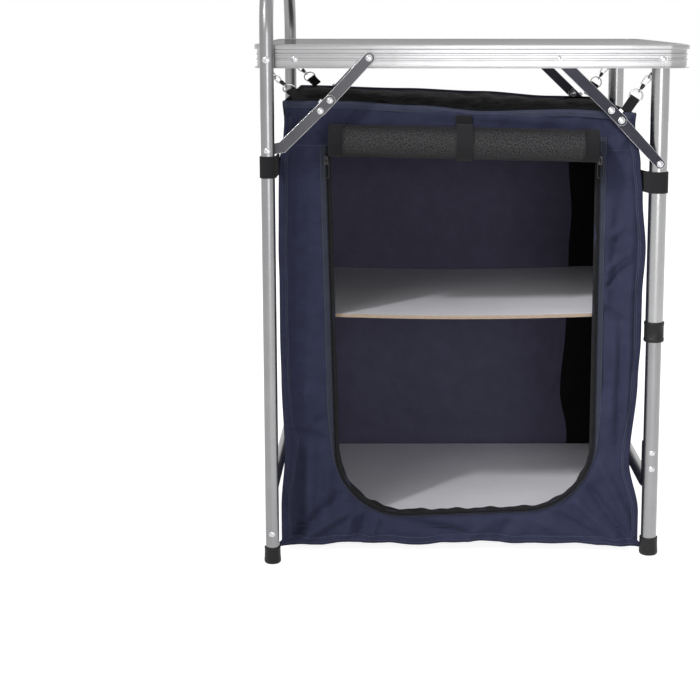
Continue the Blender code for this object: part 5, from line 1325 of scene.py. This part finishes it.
def make_walls():
    """Side walls, back wall, top and floor of the cupboard."""
    tabs = ["webbing_tab_left_rear", "webbing_tab_right_rear"]
    # Painted shade: the inner face of each side wall takes the black of the lining
    for name, edge, inward, materials, node, tab in (
        ("left_wall", left_edge, 1, [LINING_AND_SHADE, NAVY], "left_panel", tabs[0]),
        ("right_wall", right_edge, -1, [NAVY, LINING_AND_SHADE], "right_panel", tabs[1]),
    ):
        cloth(name, partial(side_at, edge, inward), SIDE_CELLS, (CUPBOARD_DEPTH, CUPBOARD_HEIGHT),
              materials, [node])
    # Painted shade: the back wall's inner face is black towards its right end
    shaded_from = round(BACK_CELLS[0] * (BACK_SHADED_FROM + CUPBOARD_LEFT) / CUPBOARD_WIDTH)
    cloth("back_wall", back_at, BACK_CELLS, (CUPBOARD_WIDTH, CUPBOARD_HEIGHT),
          [INSIDE, NAVY, LINING_AND_SHADE, NAVY], ["back_panel"],
          zones=lambda r, c: 2 if c >= shaded_from else 0)
    flat = (CUPBOARD_WIDTH, CUPBOARD_DEPTH)
    cloth("top_cloth", top_at, TOP_CELLS, flat, [BLACK], ["top_panel"], 0.0010)
    cloth("floor_cloth", floor_at, FLOOR_CELLS, flat, [NAVY], ["floor_panel"])
    ledges = Shape()
    z = SHELF_TOP - SHELF_THICKNESS - LEDGE_DROP
    for edge, inward in ((left_edge, 1), (right_edge, -1)):
        x = edge(SHELF_TOP) + inward * LEDGE_REACH / 2
        path = [(x, y, z) for y in (LEDGE_REACH - CUPBOARD_FRONT, CUPBOARD_BACK - LEDGE_REACH)]
        ribbon(ledges, path, (1, 0, 0), LEDGE_REACH, CLOTH)
    piece("shelf_ledges", ledges, [NAVY])


# Boards


def make_board(name, node, top, thickness, sag, stations):
    """A stiff board between the side walls: white film on both faces, tan cut edges."""
    low = left_edge(top) + WALL_CLEAR + BOARD_SIDE_PLAY
    high = right_edge(top) - WALL_CLEAR - BOARD_SIDE_PLAY
    front = -CUPBOARD_FRONT + CLOTH / 2 + SHELF_FRONT_SETBACK
    back = CUPBOARD_BACK - WALL_CLEAR - BOARD_BACK_PLAY
    ease = BOARD_EASE
    section = [
        (front + ease, 0), (back - ease, 0), (back, -ease), (back, ease - thickness),
        (back - ease, -thickness), (front + ease, -thickness), (front, ease - thickness), (front, -ease),
    ]
    rows = []
    for k in range(stations + 1):
        share = k / stations
        x = low + (high - low) * share
        drop = sag * math.sin(math.pi * share)
        rows.append([(Vector((x, y, top - drop + z)), (x, y, z)) for y, z in section])
    shape = Shape().skin(rows, True, slot=lambda r, c: 0 if c in (0, 4) else 1, cap_slot=1)
    piece(name, shape, [WHITE_BOARD, FIBRE], nodes=[node])


# Zip


def on_front(p, lift):
    """A point (x, z) of the front wall's plane, a distance in front of the cloth's middle."""
    return Vector((p.x, -CUPBOARD_FRONT - lift, p.y))


def make_tape(top):
    """The zip tape, raised in its middle, with its two rows of stitches."""
    steps = 6
    lines = [tape_line(k / steps, top) for k in range(steps + 1)]
    rows = []
    for index, travelled in enumerate(distances(lines[0])):
        row = []
        for k, line in enumerate(lines):
            p = line[index]
            lift = 0.0012 + 0.0003 * math.sin(math.pi * k / steps)
            lift += 0.0004 * noise.noise(Vector((p.x * 50, p.y * 50, 5.0)))
            row.append((on_front(p, lift), (travelled, (TAPE_OUTER - TAPE_INNER) * k / steps, 0.0)))
        rows.append(row)
    cloth_piece("zip_tape", Shape().skin(rows), [TAPE], TRIM_THICKNESS)
    for share, name in ((0.16, "inner"), (0.86, "outer")):
        line = stitches(Shape(), [on_front(p, BAND_LIFT) for p in tape_line(share, top)])
        piece("tape_stitches_" + name, line, [THREAD])


def make_strip(top):
    """The black strip between the coil and the tape."""
    lanes = ((-0.0012, 0.0002), (0.0016, 0.0010), (TAPE_INNER + 0.0012, 0.0010))
    lines = [(even_count(zip_outline(margin, top, 28), STRIP_POINTS), lift) for margin, lift in lanes]
    rows = []
    for i in range(STRIP_POINTS):
        places = [on_front(line[i], lift) for line, lift in lines]
        rows.append([(place, (0.0045 * i, 0.003 * k, 0.0)) for k, place in enumerate(places)])
    cloth_piece("zip_strip", Shape().skin(rows), [BLACK], TRIM_THICKNESS)


def make_zip():
    """Zip tape, the black strip inside it, the coil, and the sliders with their pulls."""
    top = OPENING_TOP + 0.004
    make_tape(top)
    make_strip(top)
    piece("zip_teeth", coil(ZIP_LINE), [COIL], nodes=["zip_coil"])
    for hand, first, second in (
        ("left", ZIP_LINE[0], ZIP_LINE[1]), ("right", ZIP_LINE[-1], ZIP_LINE[-2]),
    ):
        down = Vector((second.x - first.x, 0, second.y - first.y)).normalized()
        middle = Vector((first.x, ZIP_Y, first.y)) + down * SLIDER_START_DROP
        make_slider(hand, middle, down)


def tape_line(share, top):
    """A line along the zip tape, at a share of its width; the tape is narrow round the bottom."""
    low, wide = (
        even_count(zip_outline(TAPE_INNER + (outer - TAPE_INNER) * share, top, 28), TAPE_POINTS)
        for outer in (TAPE_LOW, TAPE_OUTER)
    )
    result = []
    for first, second in zip(low, wide):
        part = (first.y - TAPE_NARROW_TO) / (TAPE_FULL_FROM - TAPE_NARROW_TO)
        result.append(first.lerp(second, smooth_share(part)))
    return result


def even_count(points, count):
    """A given number of points, evenly spaced along a line."""
    return even_path(points, distances(points)[-1] / (count - 1))[:count]


def coil(line):
    """The zip's nylon coil: a helix of fine wire along a line."""
    wire, turn_steps, pitch = 0.00040, 7, 0.0017
    places = even_path(line, pitch / turn_steps)
    path = []
    for index, (place, way) in enumerate(zip(places, tangents(places))):
        angle = 2 * math.pi * index / turn_steps
        side = Vector((way.y, -way.x, 0))
        reach = (ZIP_RADIUS - wire) * 1.25
        flat = place + side * (reach * math.cos(angle))
        path.append(Vector((flat.x, ZIP_Y + (ZIP_RADIUS - wire) * math.sin(angle), flat.y)))
    return tube(Shape(), path, wire, 5)


def make_slider(hand, middle, down):
    """A zip slider that straddles the coil, and the wire pull that hangs from its arch."""
    channel = ZIP_RADIUS + FIT
    rise = channel + SLIDER_WALL
    skirt = -ZIP_RADIUS
    wide = SLIDER_HALF_WIDTH
    outline = [
        (-wide, skirt), (-channel, skirt), (-channel, channel), (channel, channel),
        (channel, skirt), (wide, skirt), (wide, rise), (-wide, rise),
    ]
    across = FORWARD.cross(down)
    placing = frame_at(middle, across, -down)
    flip = 1 if placing.col[1].y < 0 else -1
    shape = plate(Shape(), [(x, y * flip) for x, y in outline], SLIDER_LENGTH, placing)
    body = hand + "_zip_slider"
    obj = piece("slider_" + hand, shape, [GUNMETAL], body, ["zip_slider_" + hand])
    bevelled(obj, 0.0004, 2)

    out, up = FORWARD, -down
    root = Vector((middle.x, middle.y - rise, middle.z))
    corners = [
        root + up * SLIDER_ARCH_HALF - out * SLIDER_WALL / 2,
        root + up * SLIDER_ARCH_HALF + out * SLIDER_ARCH_RISE,
        root - up * SLIDER_ARCH_HALF + out * SLIDER_ARCH_RISE,
        root - up * SLIDER_ARCH_HALF - out * SLIDER_WALL / 2,
    ]
    bend = SLIDER_ARCH_RISE / 2
    arch = tube(Shape(), rounded(corners, [0, bend, bend, 0], 8, closed=False), SLIDER_ARCH_WIRE, 14)
    piece("slider_arch_" + hand, arch, [GUNMETAL], body)

    axis = root + out * (SLIDER_ARCH_RISE - SLIDER_ARCH_WIRE - PULL_WIRE) / 2
    side, low = Vector((1, 0, 0)), Vector((0, 0, -PULL_LENGTH))
    corners = [
        axis - side * PULL_HALF_WIDTH, axis + side * PULL_HALF_WIDTH,
        axis + side * PULL_HALF_WIDTH + low, axis - side * PULL_HALF_WIDTH + low,
    ]
    loop = rounded(corners, [PULL_WIRE * 2] * 2 + [PULL_CORNER] * 2, 8, closed=True)
    piece("pull_loop_" + hand, tube(Shape(), loop, PULL_WIRE, 14, closed=True), [GUNMETAL],
          hand + "_zip_pull", ["zip_pull_" + hand])


# Rolled door


def roll_rows(placing, length, bands):
    """Rows of the rolled sheet from its outside to its core, and its unrolled length."""
    turns = (ROLL_RADIUS - ROLL_CORE) / ROLL_PITCH
    steps = round(turns * ROLL_TURN_STEPS)
    rows, travelled = [], 0.0
    for k in range(steps + 1):
        share = k / steps
        radius = ROLL_RADIUS - 0.0006 - (ROLL_RADIUS - ROLL_CORE) * share
        angle = ROLL_START_ANGLE - 2 * math.pi * turns * share
        travelled += radius * 2 * math.pi * turns / steps
        row = []
        for x in bands:
            dent = 0.0 if min(x, length - x) < ROLL_END_BAND else ROLL_DENT
            lump = noise.noise(Vector((x * 34, math.cos(angle) * 1.1, math.sin(angle) * 1.1))) * ROLL_LUMP
            size = radius + (dent + lump) * (1 - 0.8 * share)
            place = placing @ Vector((size * math.cos(angle), size * math.sin(angle), x))
            row.append((place, (x, travelled, 0.0)))
        rows.append(row)
    return rows, travelled


def make_roll():
    """The rolled-up door: one sheet of net with plain end bands, wound into a spiral."""
    left = Vector((ROLL_LEFT[0], ROLL_Y, ROLL_LEFT[1]))
    right = Vector((ROLL_RIGHT[0], ROLL_Y, ROLL_RIGHT[1]))
    placing = frame_at(left, FORWARD, right - left)
    length = (right - left).length
    bands = [length * k / ROLL_STATIONS for k in range(ROLL_STATIONS + 1)]
    rows, unrolled = roll_rows(placing, length, bands)
    edge = round(ROLL_STATIONS * ROLL_END_BAND / length)
    shape = Shape().skin(rows, slot=lambda r, c: 0 if edge <= c < ROLL_STATIONS - edge else 1)
    roll = cloth_piece("door_roll", shape, [NET, BLACK], 0.0011, ["rolled_door"])

    along = (right - left).normalized()
    centre = (left + right) / 2 + along * ROLL_STRAP_OFFSET
    radius = ROLL_RADIUS + FIT + ROLL_STRAP_THICKNESS / 2
    up, back = Vector((0, 0, 1)), -FORWARD
    path = [centre + back * (radius - 0.0035) + up * (radius + 0.011)]
    path.append(centre + back * (radius - 0.0035) + up * radius * 0.8)
    for k in range(41):
        angle = math.radians(ROLL_STRAP_START) - math.radians(ROLL_STRAP_SWEEP) * k / 40
        path.append(centre + back * radius * math.cos(angle) + up * radius * math.sin(angle))
    strap = ribbon(Shape(), even_path(path, 0.003), along, ROLL_STRAP_WIDTH, ROLL_STRAP_THICKNESS)
    piece("roll_band", strap, [WEBBING], nodes=["roll_strap"], sharp=60)

    seams = Shape()
    x_dir, y_dir = placing.col[0].xyz, placing.col[1].xyz
    near, far = ROLL_END_BAND, length - ROLL_END_BAND
    for inset in (near, near + ROLL_SEAM_GAP, far, far - ROLL_SEAM_GAP):
        ring = ring_path(left + along * inset, ROLL_RADIUS + 0.0001, x_dir, y_dir, 96)
        tube(seams, ring, 0.0003, 6, closed=True)
    piece("roll_seams", seams, [BLACK_THREAD])


# Straps round the legs


def make_leg_strap(name, centre, radius, target, mirrored):
    """A webbing strap round a leg, its tail drawn to a point on the cloth."""
    middle = radius + FIT + STRAP_THICKNESS / 2
    away = Vector((target[0] - centre[0], target[1] - centre[1], 0))
    lean = math.asin(middle / away.length)
    turn = Matrix.Rotation(lean if mirrored else -lean, 3, "Z")
    x_dir = (turn @ away).normalized()
    y_dir = Vector((-x_dir.y, x_dir.x, 0)) * (-1 if mirrored else 1)
    tail = math.sqrt(away.length_squared - middle * middle)
    centre = Vector(centre)
    path = []
    for k in range(STRAP_TAIL_STEPS, 0, -1):
        path.append(centre + x_dir * tail * k / STRAP_TAIL_STEPS + y_dir * middle)
    for k in range(STRAP_STEPS + 1):
        angle = math.pi / 2 + 2 * math.pi * STRAP_WRAP * k / STRAP_STEPS
        path.append(centre + x_dir * middle * math.cos(angle) + y_dir * middle * math.sin(angle))
    shape = ribbon(Shape(), path, (0, 0, 1), STRAP_WIDTH, STRAP_THICKNESS)
    piece(name + "_band", shape, [WEBBING], nodes=[name], sharp=60)


def make_leg_straps():
    """Four straps, two on the hoop and two on the right upper tubes."""
    end_y = CUPBOARD_FRONT - STRAP_END_SETBACK
    gap = CLOTH / 2 + STRAP_THICKNESS
    for side, tag in SIDES:
        target = (left_edge(LEFT_STRAP_HEIGHT) - gap * 0.7, side * end_y, LEFT_STRAP_HEIGHT)
        centre = (HOOP_X, side * LEFT_LEG_Y, LEFT_STRAP_HEIGHT)
        make_leg_strap("leg_strap_left_" + tag, centre, HOOP_RADIUS, target, side == FRONT)
        target = (right_edge(RIGHT_STRAP_HEIGHT) + gap * 0.7, side * end_y, RIGHT_STRAP_HEIGHT)
        centre = (RIGHT_LEG_X, side * RIGHT_LEG_Y, RIGHT_STRAP_HEIGHT)
        make_leg_strap("leg_strap_right_" + tag, centre, UPPER_RADIUS, target, side == REAR)


# Hooks


class HookLine:
    """The line from a leg to a corner of the cupboard, along which the hanging gear lies."""

    def __init__(self, leg_centre, leg_radius, target):
        heading = Vector((target.x - leg_centre.x, target.y - leg_centre.y, 0)).normalized()
        self.start = leg_centre + heading * leg_radius
        self.reach = (target - self.start).length
        self.along = (target - self.start).normalized()
        self.across = (Vector((1, 0, 0)) - self.along * self.along.x).normalized()
        self.normal = self.along.cross(self.across)

    def at(self, distance, side=0.0, rise=0.0):
        """A point at a distance from the leg, to one side of the line or above it."""
        return self.start + self.along * distance + self.across * side + self.normal * rise

    def upright_ring(self, shape, distance, radius, slot=0):
        """A small wire ring that stands along the line."""
        path = ring_path(self.at(distance), radius, self.along, self.normal)
        return tube(shape, path, EYE_WIRE, 14, closed=True, slot=slot)


def make_snap_hook(line, tag):
    """A snap hook: bow, barrel and swivel ring in one piece, and its gate."""
    half = HOOK_BOW_HALF_WIDTH
    bow = [
        line.at(BOW_START + half, half), line.at(BOW_START, half), line.at(BOW_START, -half),
        line.at(BOW_END, -half), line.at(BOW_END),
    ]
    bend = half - GATE_GAP
    hook = tube(Shape(), rounded(bow, [0, bend, bend, bend / 2, 0], 10, closed=False), HOOK_WIRE, 16)
    wide, end = HOOK_BARREL_RADIUS, HOOK_BARREL_LENGTH
    profile = [
        (0, 0), (wide * 0.72, 0), (wide, wide * 0.25), (wide, end * 0.62), (wide * 0.78, end * 0.70),
        (wide * 0.78, end * 0.82), (wide * 0.95, end * 0.88), (wide * 0.80, end), (0, end),
    ]
    turned(hook, profile, frame_at(line.at(BARREL_AT), line.across, line.along), 28, slot=1)
    line.upright_ring(hook, SWIVEL_AT, HOOK_SWIVEL_RING)
    piece("hook_" + tag, hook, [STEEL, GUNMETAL], nodes=["snap_hook_" + tag])
    gate = [line.at(BOW_START + half + GATE_GAP, half), line.at(BARREL_AT - GATE_GAP, wide - GATE_WIRE)]
    piece("gate_" + tag + "_bar", tube(Shape(), gate, GATE_WIRE, 14), [STEEL], "gate_" + tag,
          ["hook_gate_" + tag])


def make_ring_and_tab(line, tag):
    """The steel ring and the webbing tab that loops through it and ends on the cloth."""
    path = ring_path(line.at(RING_AT), RING_RADIUS, line.along, line.across, 56)
    ring = tube(Shape(), path, RING_WIRE, 18, closed=True)
    piece("ring_" + tag, ring, [STEEL], nodes=["tab_ring_" + tag])
    wrap = RING_WIRE + FIT + 0.0009
    ends = ((line.reach, 0.0011), (line.reach - 0.010, 0.0011), (TAB_BEND_AT + 0.006, 0.0013))
    path = [line.at(distance, 0, -rise) for distance, rise in ends]
    for k in range(13):
        angle = math.pi / 2 + math.pi * k / 12
        path.append(line.at(TAB_BEND_AT + wrap * math.cos(angle), 0, -wrap * math.sin(angle)))
    path += [line.at(distance, 0, rise) for distance, rise in reversed(ends)]
    tab = ribbon(Shape(), even_path(path, 0.0012), line.across, TAB_WIDTH, 0.0016)
    piece("tab_" + tag, tab, [WEBBING], nodes=["webbing_tab_" + tag], sharp=60)


def make_hooks(hoop, uppers):
    """The hanging gear at the four top corners of the cupboard: leg eye, snap hook, ring and tab."""
    for side, tag in SIDES:
        wall_y = -CUPBOARD_FRONT if side == FRONT else CUPBOARD_BACK
        for hand, leg, leg_x, leg_y, radius, share in (
            ("left", hoop, HOOP_X, LEFT_LEG_Y, HOOP_RADIUS, LEFT_TAB_SHARE),
            ("right", uppers[side], RIGHT_LEG_X, RIGHT_LEG_Y, UPPER_RADIUS, RIGHT_TAB_SHARE),
        ):
            z = height_at(share, 1, side == REAR) + FIT + CLOTH
            target = Vector((-CUPBOARD_LEFT + CUPBOARD_WIDTH * share, wall_y, z))
            line = HookLine(Vector((leg_x, side * leg_y, EYE_HEIGHT)), radius, target)
            line.upright_ring(leg, EYE_AT, EYE_RING, slot=1)
            make_snap_hook(line, hand + "_" + tag)
            make_ring_and_tab(line, hand + "_" + tag)


# Trim of the cloth: binding, piping and stitching


def make_binding():
    """The binding along the front wall's top edge, and the piping of its side edges."""
    rows = []
    for k in range(121):
        u = k / 120
        top = front_at(u, 1.0)
        row = []
        for drop, lift in BINDING_SECTION:
            wobble = 0.0003 * noise.noise(Vector((u * 40, drop * 200, 2.0)))
            place = Vector((top.x, top.y - lift - wobble, top.z - drop + 0.0006))
            row.append((place, (u * 0.5, drop, 0.0)))
        rows.append(row)
    cloth_piece("top_binding", Shape().skin(rows), [HEM], 0.0008)
    piping = Shape()
    for u in (0.0, 1.0):
        tube(piping, [front_at(u, v / 90) + Vector((0, 0.0002, 0)) for v in range(91)], 0.0013, 10)
    piece("front_piping", piping, [LINING_AND_SHADE])


def hem_band():
    """The hem's doubled strip: its outer and inner edge as (x, z), tapered past both corners."""
    outer, inner = [], []
    for k in range(241):
        u = -HEM_TAIL + (1 + 2 * HEM_TAIL) * k / 240
        held = min(max(u, 0), 1)
        low = front_at(held, 0.0)
        x = low.x + (u - held) * CUPBOARD_WIDTH
        taper = 0.45 + 0.55 * smooth_share((0.5 + HEM_TAIL - abs(u - 0.5)) / HEM_TAIL * 0.6)
        outer.append((x, low.z - HEM_BAND_DROP - HEM_BAND_TAPER * (1 - taper)))
        inner.append((x, low.z - HEM_BAND_DROP + HEM_BAND_WIDTH * taper))
    return outer, inner


def add_side_seam(edge, inward, offsets, welts, bands, lines):
    """A side seam of the front wall: its welt, the doubled strip beside it and its stitches."""
    lift = Vector((0, BAND_LIFT, 0))
    path, seam = [], []
    for k in range(150):
        z = WELT_BOTTOM + WELT_LENGTH * k / 149
        offset = lookup(offsets, z)
        path.append(drop_on_front(edge(z) + inward * offset, z))
        seam.append(drop_on_front(edge(z) + inward * (offset - SEAM_STITCH_INSET), z) - lift)
    tube(welts, [p - Vector((0, 0.0004, 0)) for p in path], WELT_RADIUS, 10)
    stitches(lines, seam)
    edge_band(bands, [(edge(p.z) - inward * 0.0008, p.z) for p in path], [(p.x, p.z) for p in path])


def make_trim():
    """Binding, piping, hem, side seams and all the stitching of the front wall."""
    make_binding()
    lines, bands, welts = Shape(), Shape(), Shape()
    for drop in TOP_STITCH_DROPS:
        stitches(lines, [front_at(k / 80, 1.0) - Vector((0, 0.0020, drop)) for k in range(2, 79)])
    for rise in HEM_STITCH_RISES:
        hem = [front_at(k / 120, 0.0) + Vector((0, 0, rise)) for k in range(1, 120)]
        stitches(lines, [drop_on_front(p.x, p.z) - Vector((0, BAND_LIFT, 0)) for p in hem])
    edge_band(bands, *hem_band())
    add_side_seam(left_edge, 1, LEFT_WELT, welts, bands, lines)
    add_side_seam(right_edge, -1, RIGHT_WELT, welts, bands, lines)
    piece("side_welts", welts, [HEM])
    cloth_piece("edge_bands", bands, [NAVY], TRIM_THICKNESS)
    for x, width, z, fall in ((left_edge(0.59) + 0.004, 0.058, 0.5905, 0.0006), (0.190, 0.045, 0.5835, 0.0)):
        stitches(lines, [drop_on_front(x + width * k / 20, z - fall * k / 20) for k in range(21)])
    piece("seam_stitches", lines, [THREAD])


def edge_band(shape, outer, inner):
    """A raised doubled strip of cloth between two lines of (x, z) on the front wall."""
    lanes = 8
    rows = []
    for first, second in zip(outer, inner):
        row = []
        for k in range(lanes + 1):
            share = k / lanes
            x = first[0] + (second[0] - first[0]) * share
            z = first[1] + (second[1] - first[1]) * share
            puff = (BAND_LIFT - 0.0004) * math.sqrt(math.sin(math.pi * (0.02 + 0.96 * share)))
            pucker = 0.0003 * noise.noise(Vector((x * 300, z * 300, 9.0)))
            row.append((drop_on_front(x, z) - Vector((0, puff + pucker, 0)), (x, z, 0.0)))
        rows.append(row)
    shape.skin(rows)


def drop_on_front(x, z):
    """The point of the front wall's outer face at a place."""
    u = (x - left_edge(z)) / (right_edge(z) - left_edge(z))
    return Vector((x, -CUPBOARD_FRONT - front_relief(x, z, u) - CLOTH * 0.4, z))


def make_lining():
    """The black gathered lining that shows along the bottom of the opening."""
    lanes = 6
    line = even_count(zip_outline(0.0016, 0.20, 28), LINING_POINTS)
    rows = []
    for index, (p, way) in enumerate(zip(line, tangents(line))):
        share = index / (LINING_POINTS - 1)
        inward = Vector((-way.y, way.x, 0))
        ends = smooth_share(share / 0.12) * smooth_share((1 - share) / 0.12)
        sway_share = 11 * share + 0.6 * noise.noise(Vector((share * 9, 1, 0)))
        wave = 0.5 + 0.5 * math.sin(2 * math.pi * sway_share)
        bulge = math.exp(-((share - 0.30) / 0.13) ** 2)
        reach = ends * (LINING_REACH + LINING_WAVE * wave + LINING_LEFT_BULGE * bulge)
        row = []
        for k in range(lanes + 1):
            across = k / lanes
            q = p + inward * reach * across
            back = -0.0006 + 0.005 * across * across + 0.0018 * across * math.sin(2 * math.pi * 23 * share)
            row.append((on_front(q, -back), (share * 0.9, 0.012 * across, 0.0)))
        rows.append(row)
    cloth_piece("lining_lip", Shape().skin(rows), [LINING_AND_SHADE], 0.0009)


# Stage


def make_camera():
    """The camera at the photograph's place."""
    data = bpy.data.cameras.new("camera")
    data.sensor_width, data.lens = CAMERA_SENSOR, CAMERA_LENS
    data.shift_x, data.shift_y = CAMERA_SHIFT
    camera = show(bpy.data.objects.new("camera", data))
    camera.location = CAMERA_PLACE
    camera.rotation_euler = (math.radians(90 - CAMERA_DROP), 0, 0)
    bpy.context.scene.camera = camera


def lamp(name, kind, place, target, **settings):
    """A lamp that looks at a point."""
    data = bpy.data.lights.new(name, kind)
    for key, value in settings.items():
        setattr(data, key, value)
    obj = show(bpy.data.objects.new(name, data))
    obj.location = place
    obj.rotation_euler = (Vector(target) - Vector(place)).to_track_quat("-Z", "Y").to_euler()
    return obj


def seen_level(tree, hidden, seen):
    """One level for rays of the camera, of reflections and of glass, another for the rest."""
    path = tree.nodes.new("ShaderNodeLightPath")
    total = path.outputs["Is Camera Ray"]
    for label in ("Is Glossy Ray", "Is Transmission Ray"):
        node = tree.nodes.new("ShaderNodeMath")
        node.operation = "MAXIMUM"
        tree.links.new(total, node.inputs[0])
        tree.links.new(path.outputs[label], node.inputs[1])
        total = node.outputs[0]
    level = tree.nodes.new("ShaderNodeMapRange")
    tree.links.new(total, level.inputs["Value"])
    level.inputs[3].default_value = hidden
    level.inputs[4].default_value = seen
    return level.outputs[0]


def make_world():
    """A white world that looks brighter than it lights."""
    world = bpy.data.worlds.new("studio")
    bpy.context.scene.world = world
    world.use_nodes = True
    tree = world.node_tree
    background = tree.nodes["Background"]
    background.inputs["Color"].default_value = (1, 1, 1, 1)
    tree.links.new(seen_level(tree, WORLD_LIGHT, WORLD_SEEN), background.inputs["Strength"])


def make_floor():
    """A pale floor that blends into the world where it is seen."""
    mesh = bpy.data.meshes.new("studio_floor")
    corners = [(x * FLOOR_REACH, y * FLOOR_REACH, 0) for x, y in ((-1, -1), (1, -1), (1, 1), (-1, 1))]
    mesh.from_pydata(corners, [], [(0, 1, 2, 3)])
    floor = show(bpy.data.objects.new("studio_floor", mesh))
    floor.location.z = -FLOOR_DROP
    finish = Finish("studio_floor", (FLOOR_TONE,) * 3, 1.0, 0.0, {
        "Specular IOR Level": 0.0, "Emission Color": (1, 1, 1, 1),
    })
    finish.feed("Emission Strength", seen_level(finish.tree, 0.0, FLOOR_GLOW_SEEN))
    mesh.materials.append(finish.material)


def make_stage():
    """World, floor, a hard key lamp and three soft lamps out of the camera's sight."""
    make_world()
    make_floor()
    lamp("key_lamp", "SPOT", KEY_PLACE, KEY_TARGET, energy=KEY_POWER, spot_size=math.radians(KEY_CONE),
         spot_blend=KEY_BLEND, shadow_soft_size=KEY_RADIUS)
    for name, place, target, (width, height), power in AREA_LAMPS:
        soft = lamp(name, "AREA", place, target, shape="RECTANGLE", size=width, size_y=height, energy=power)
        soft.visible_camera = False
    bpy.context.scene.view_settings.view_transform = "Standard"


# Build


make_camera()
make_worktop()
left_hoop = make_left_legs()
right_uppers = make_right_legs()
for brace_side, brace_tag in SIDES:
    for brace_hand in ("left", "right"):
        make_brace(brace_hand, brace_side, brace_tag)
make_front_wall()
make_walls()
make_board("shelf_board", "middle_shelf", SHELF_TOP, SHELF_THICKNESS, SHELF_SAG, 48)
make_board("base_board", "floor_board", FLOOR_BOARD_TOP, FLOOR_BOARD_THICKNESS, 0.0, 24)
make_zip()
make_roll()
make_leg_straps()
make_hooks(left_hoop, right_uppers)
piece("hoop", left_hoop, [TUBE, RIVETS], nodes=["left_hoop"])
for upper_side, upper_tag in SIDES:
    piece("upper_tube_" + upper_tag, right_uppers[upper_side], [OUTER_TUBE, RIVETS],
          nodes=["right_upper_tube_" + upper_tag])
make_trim()
make_lining()
make_stage()
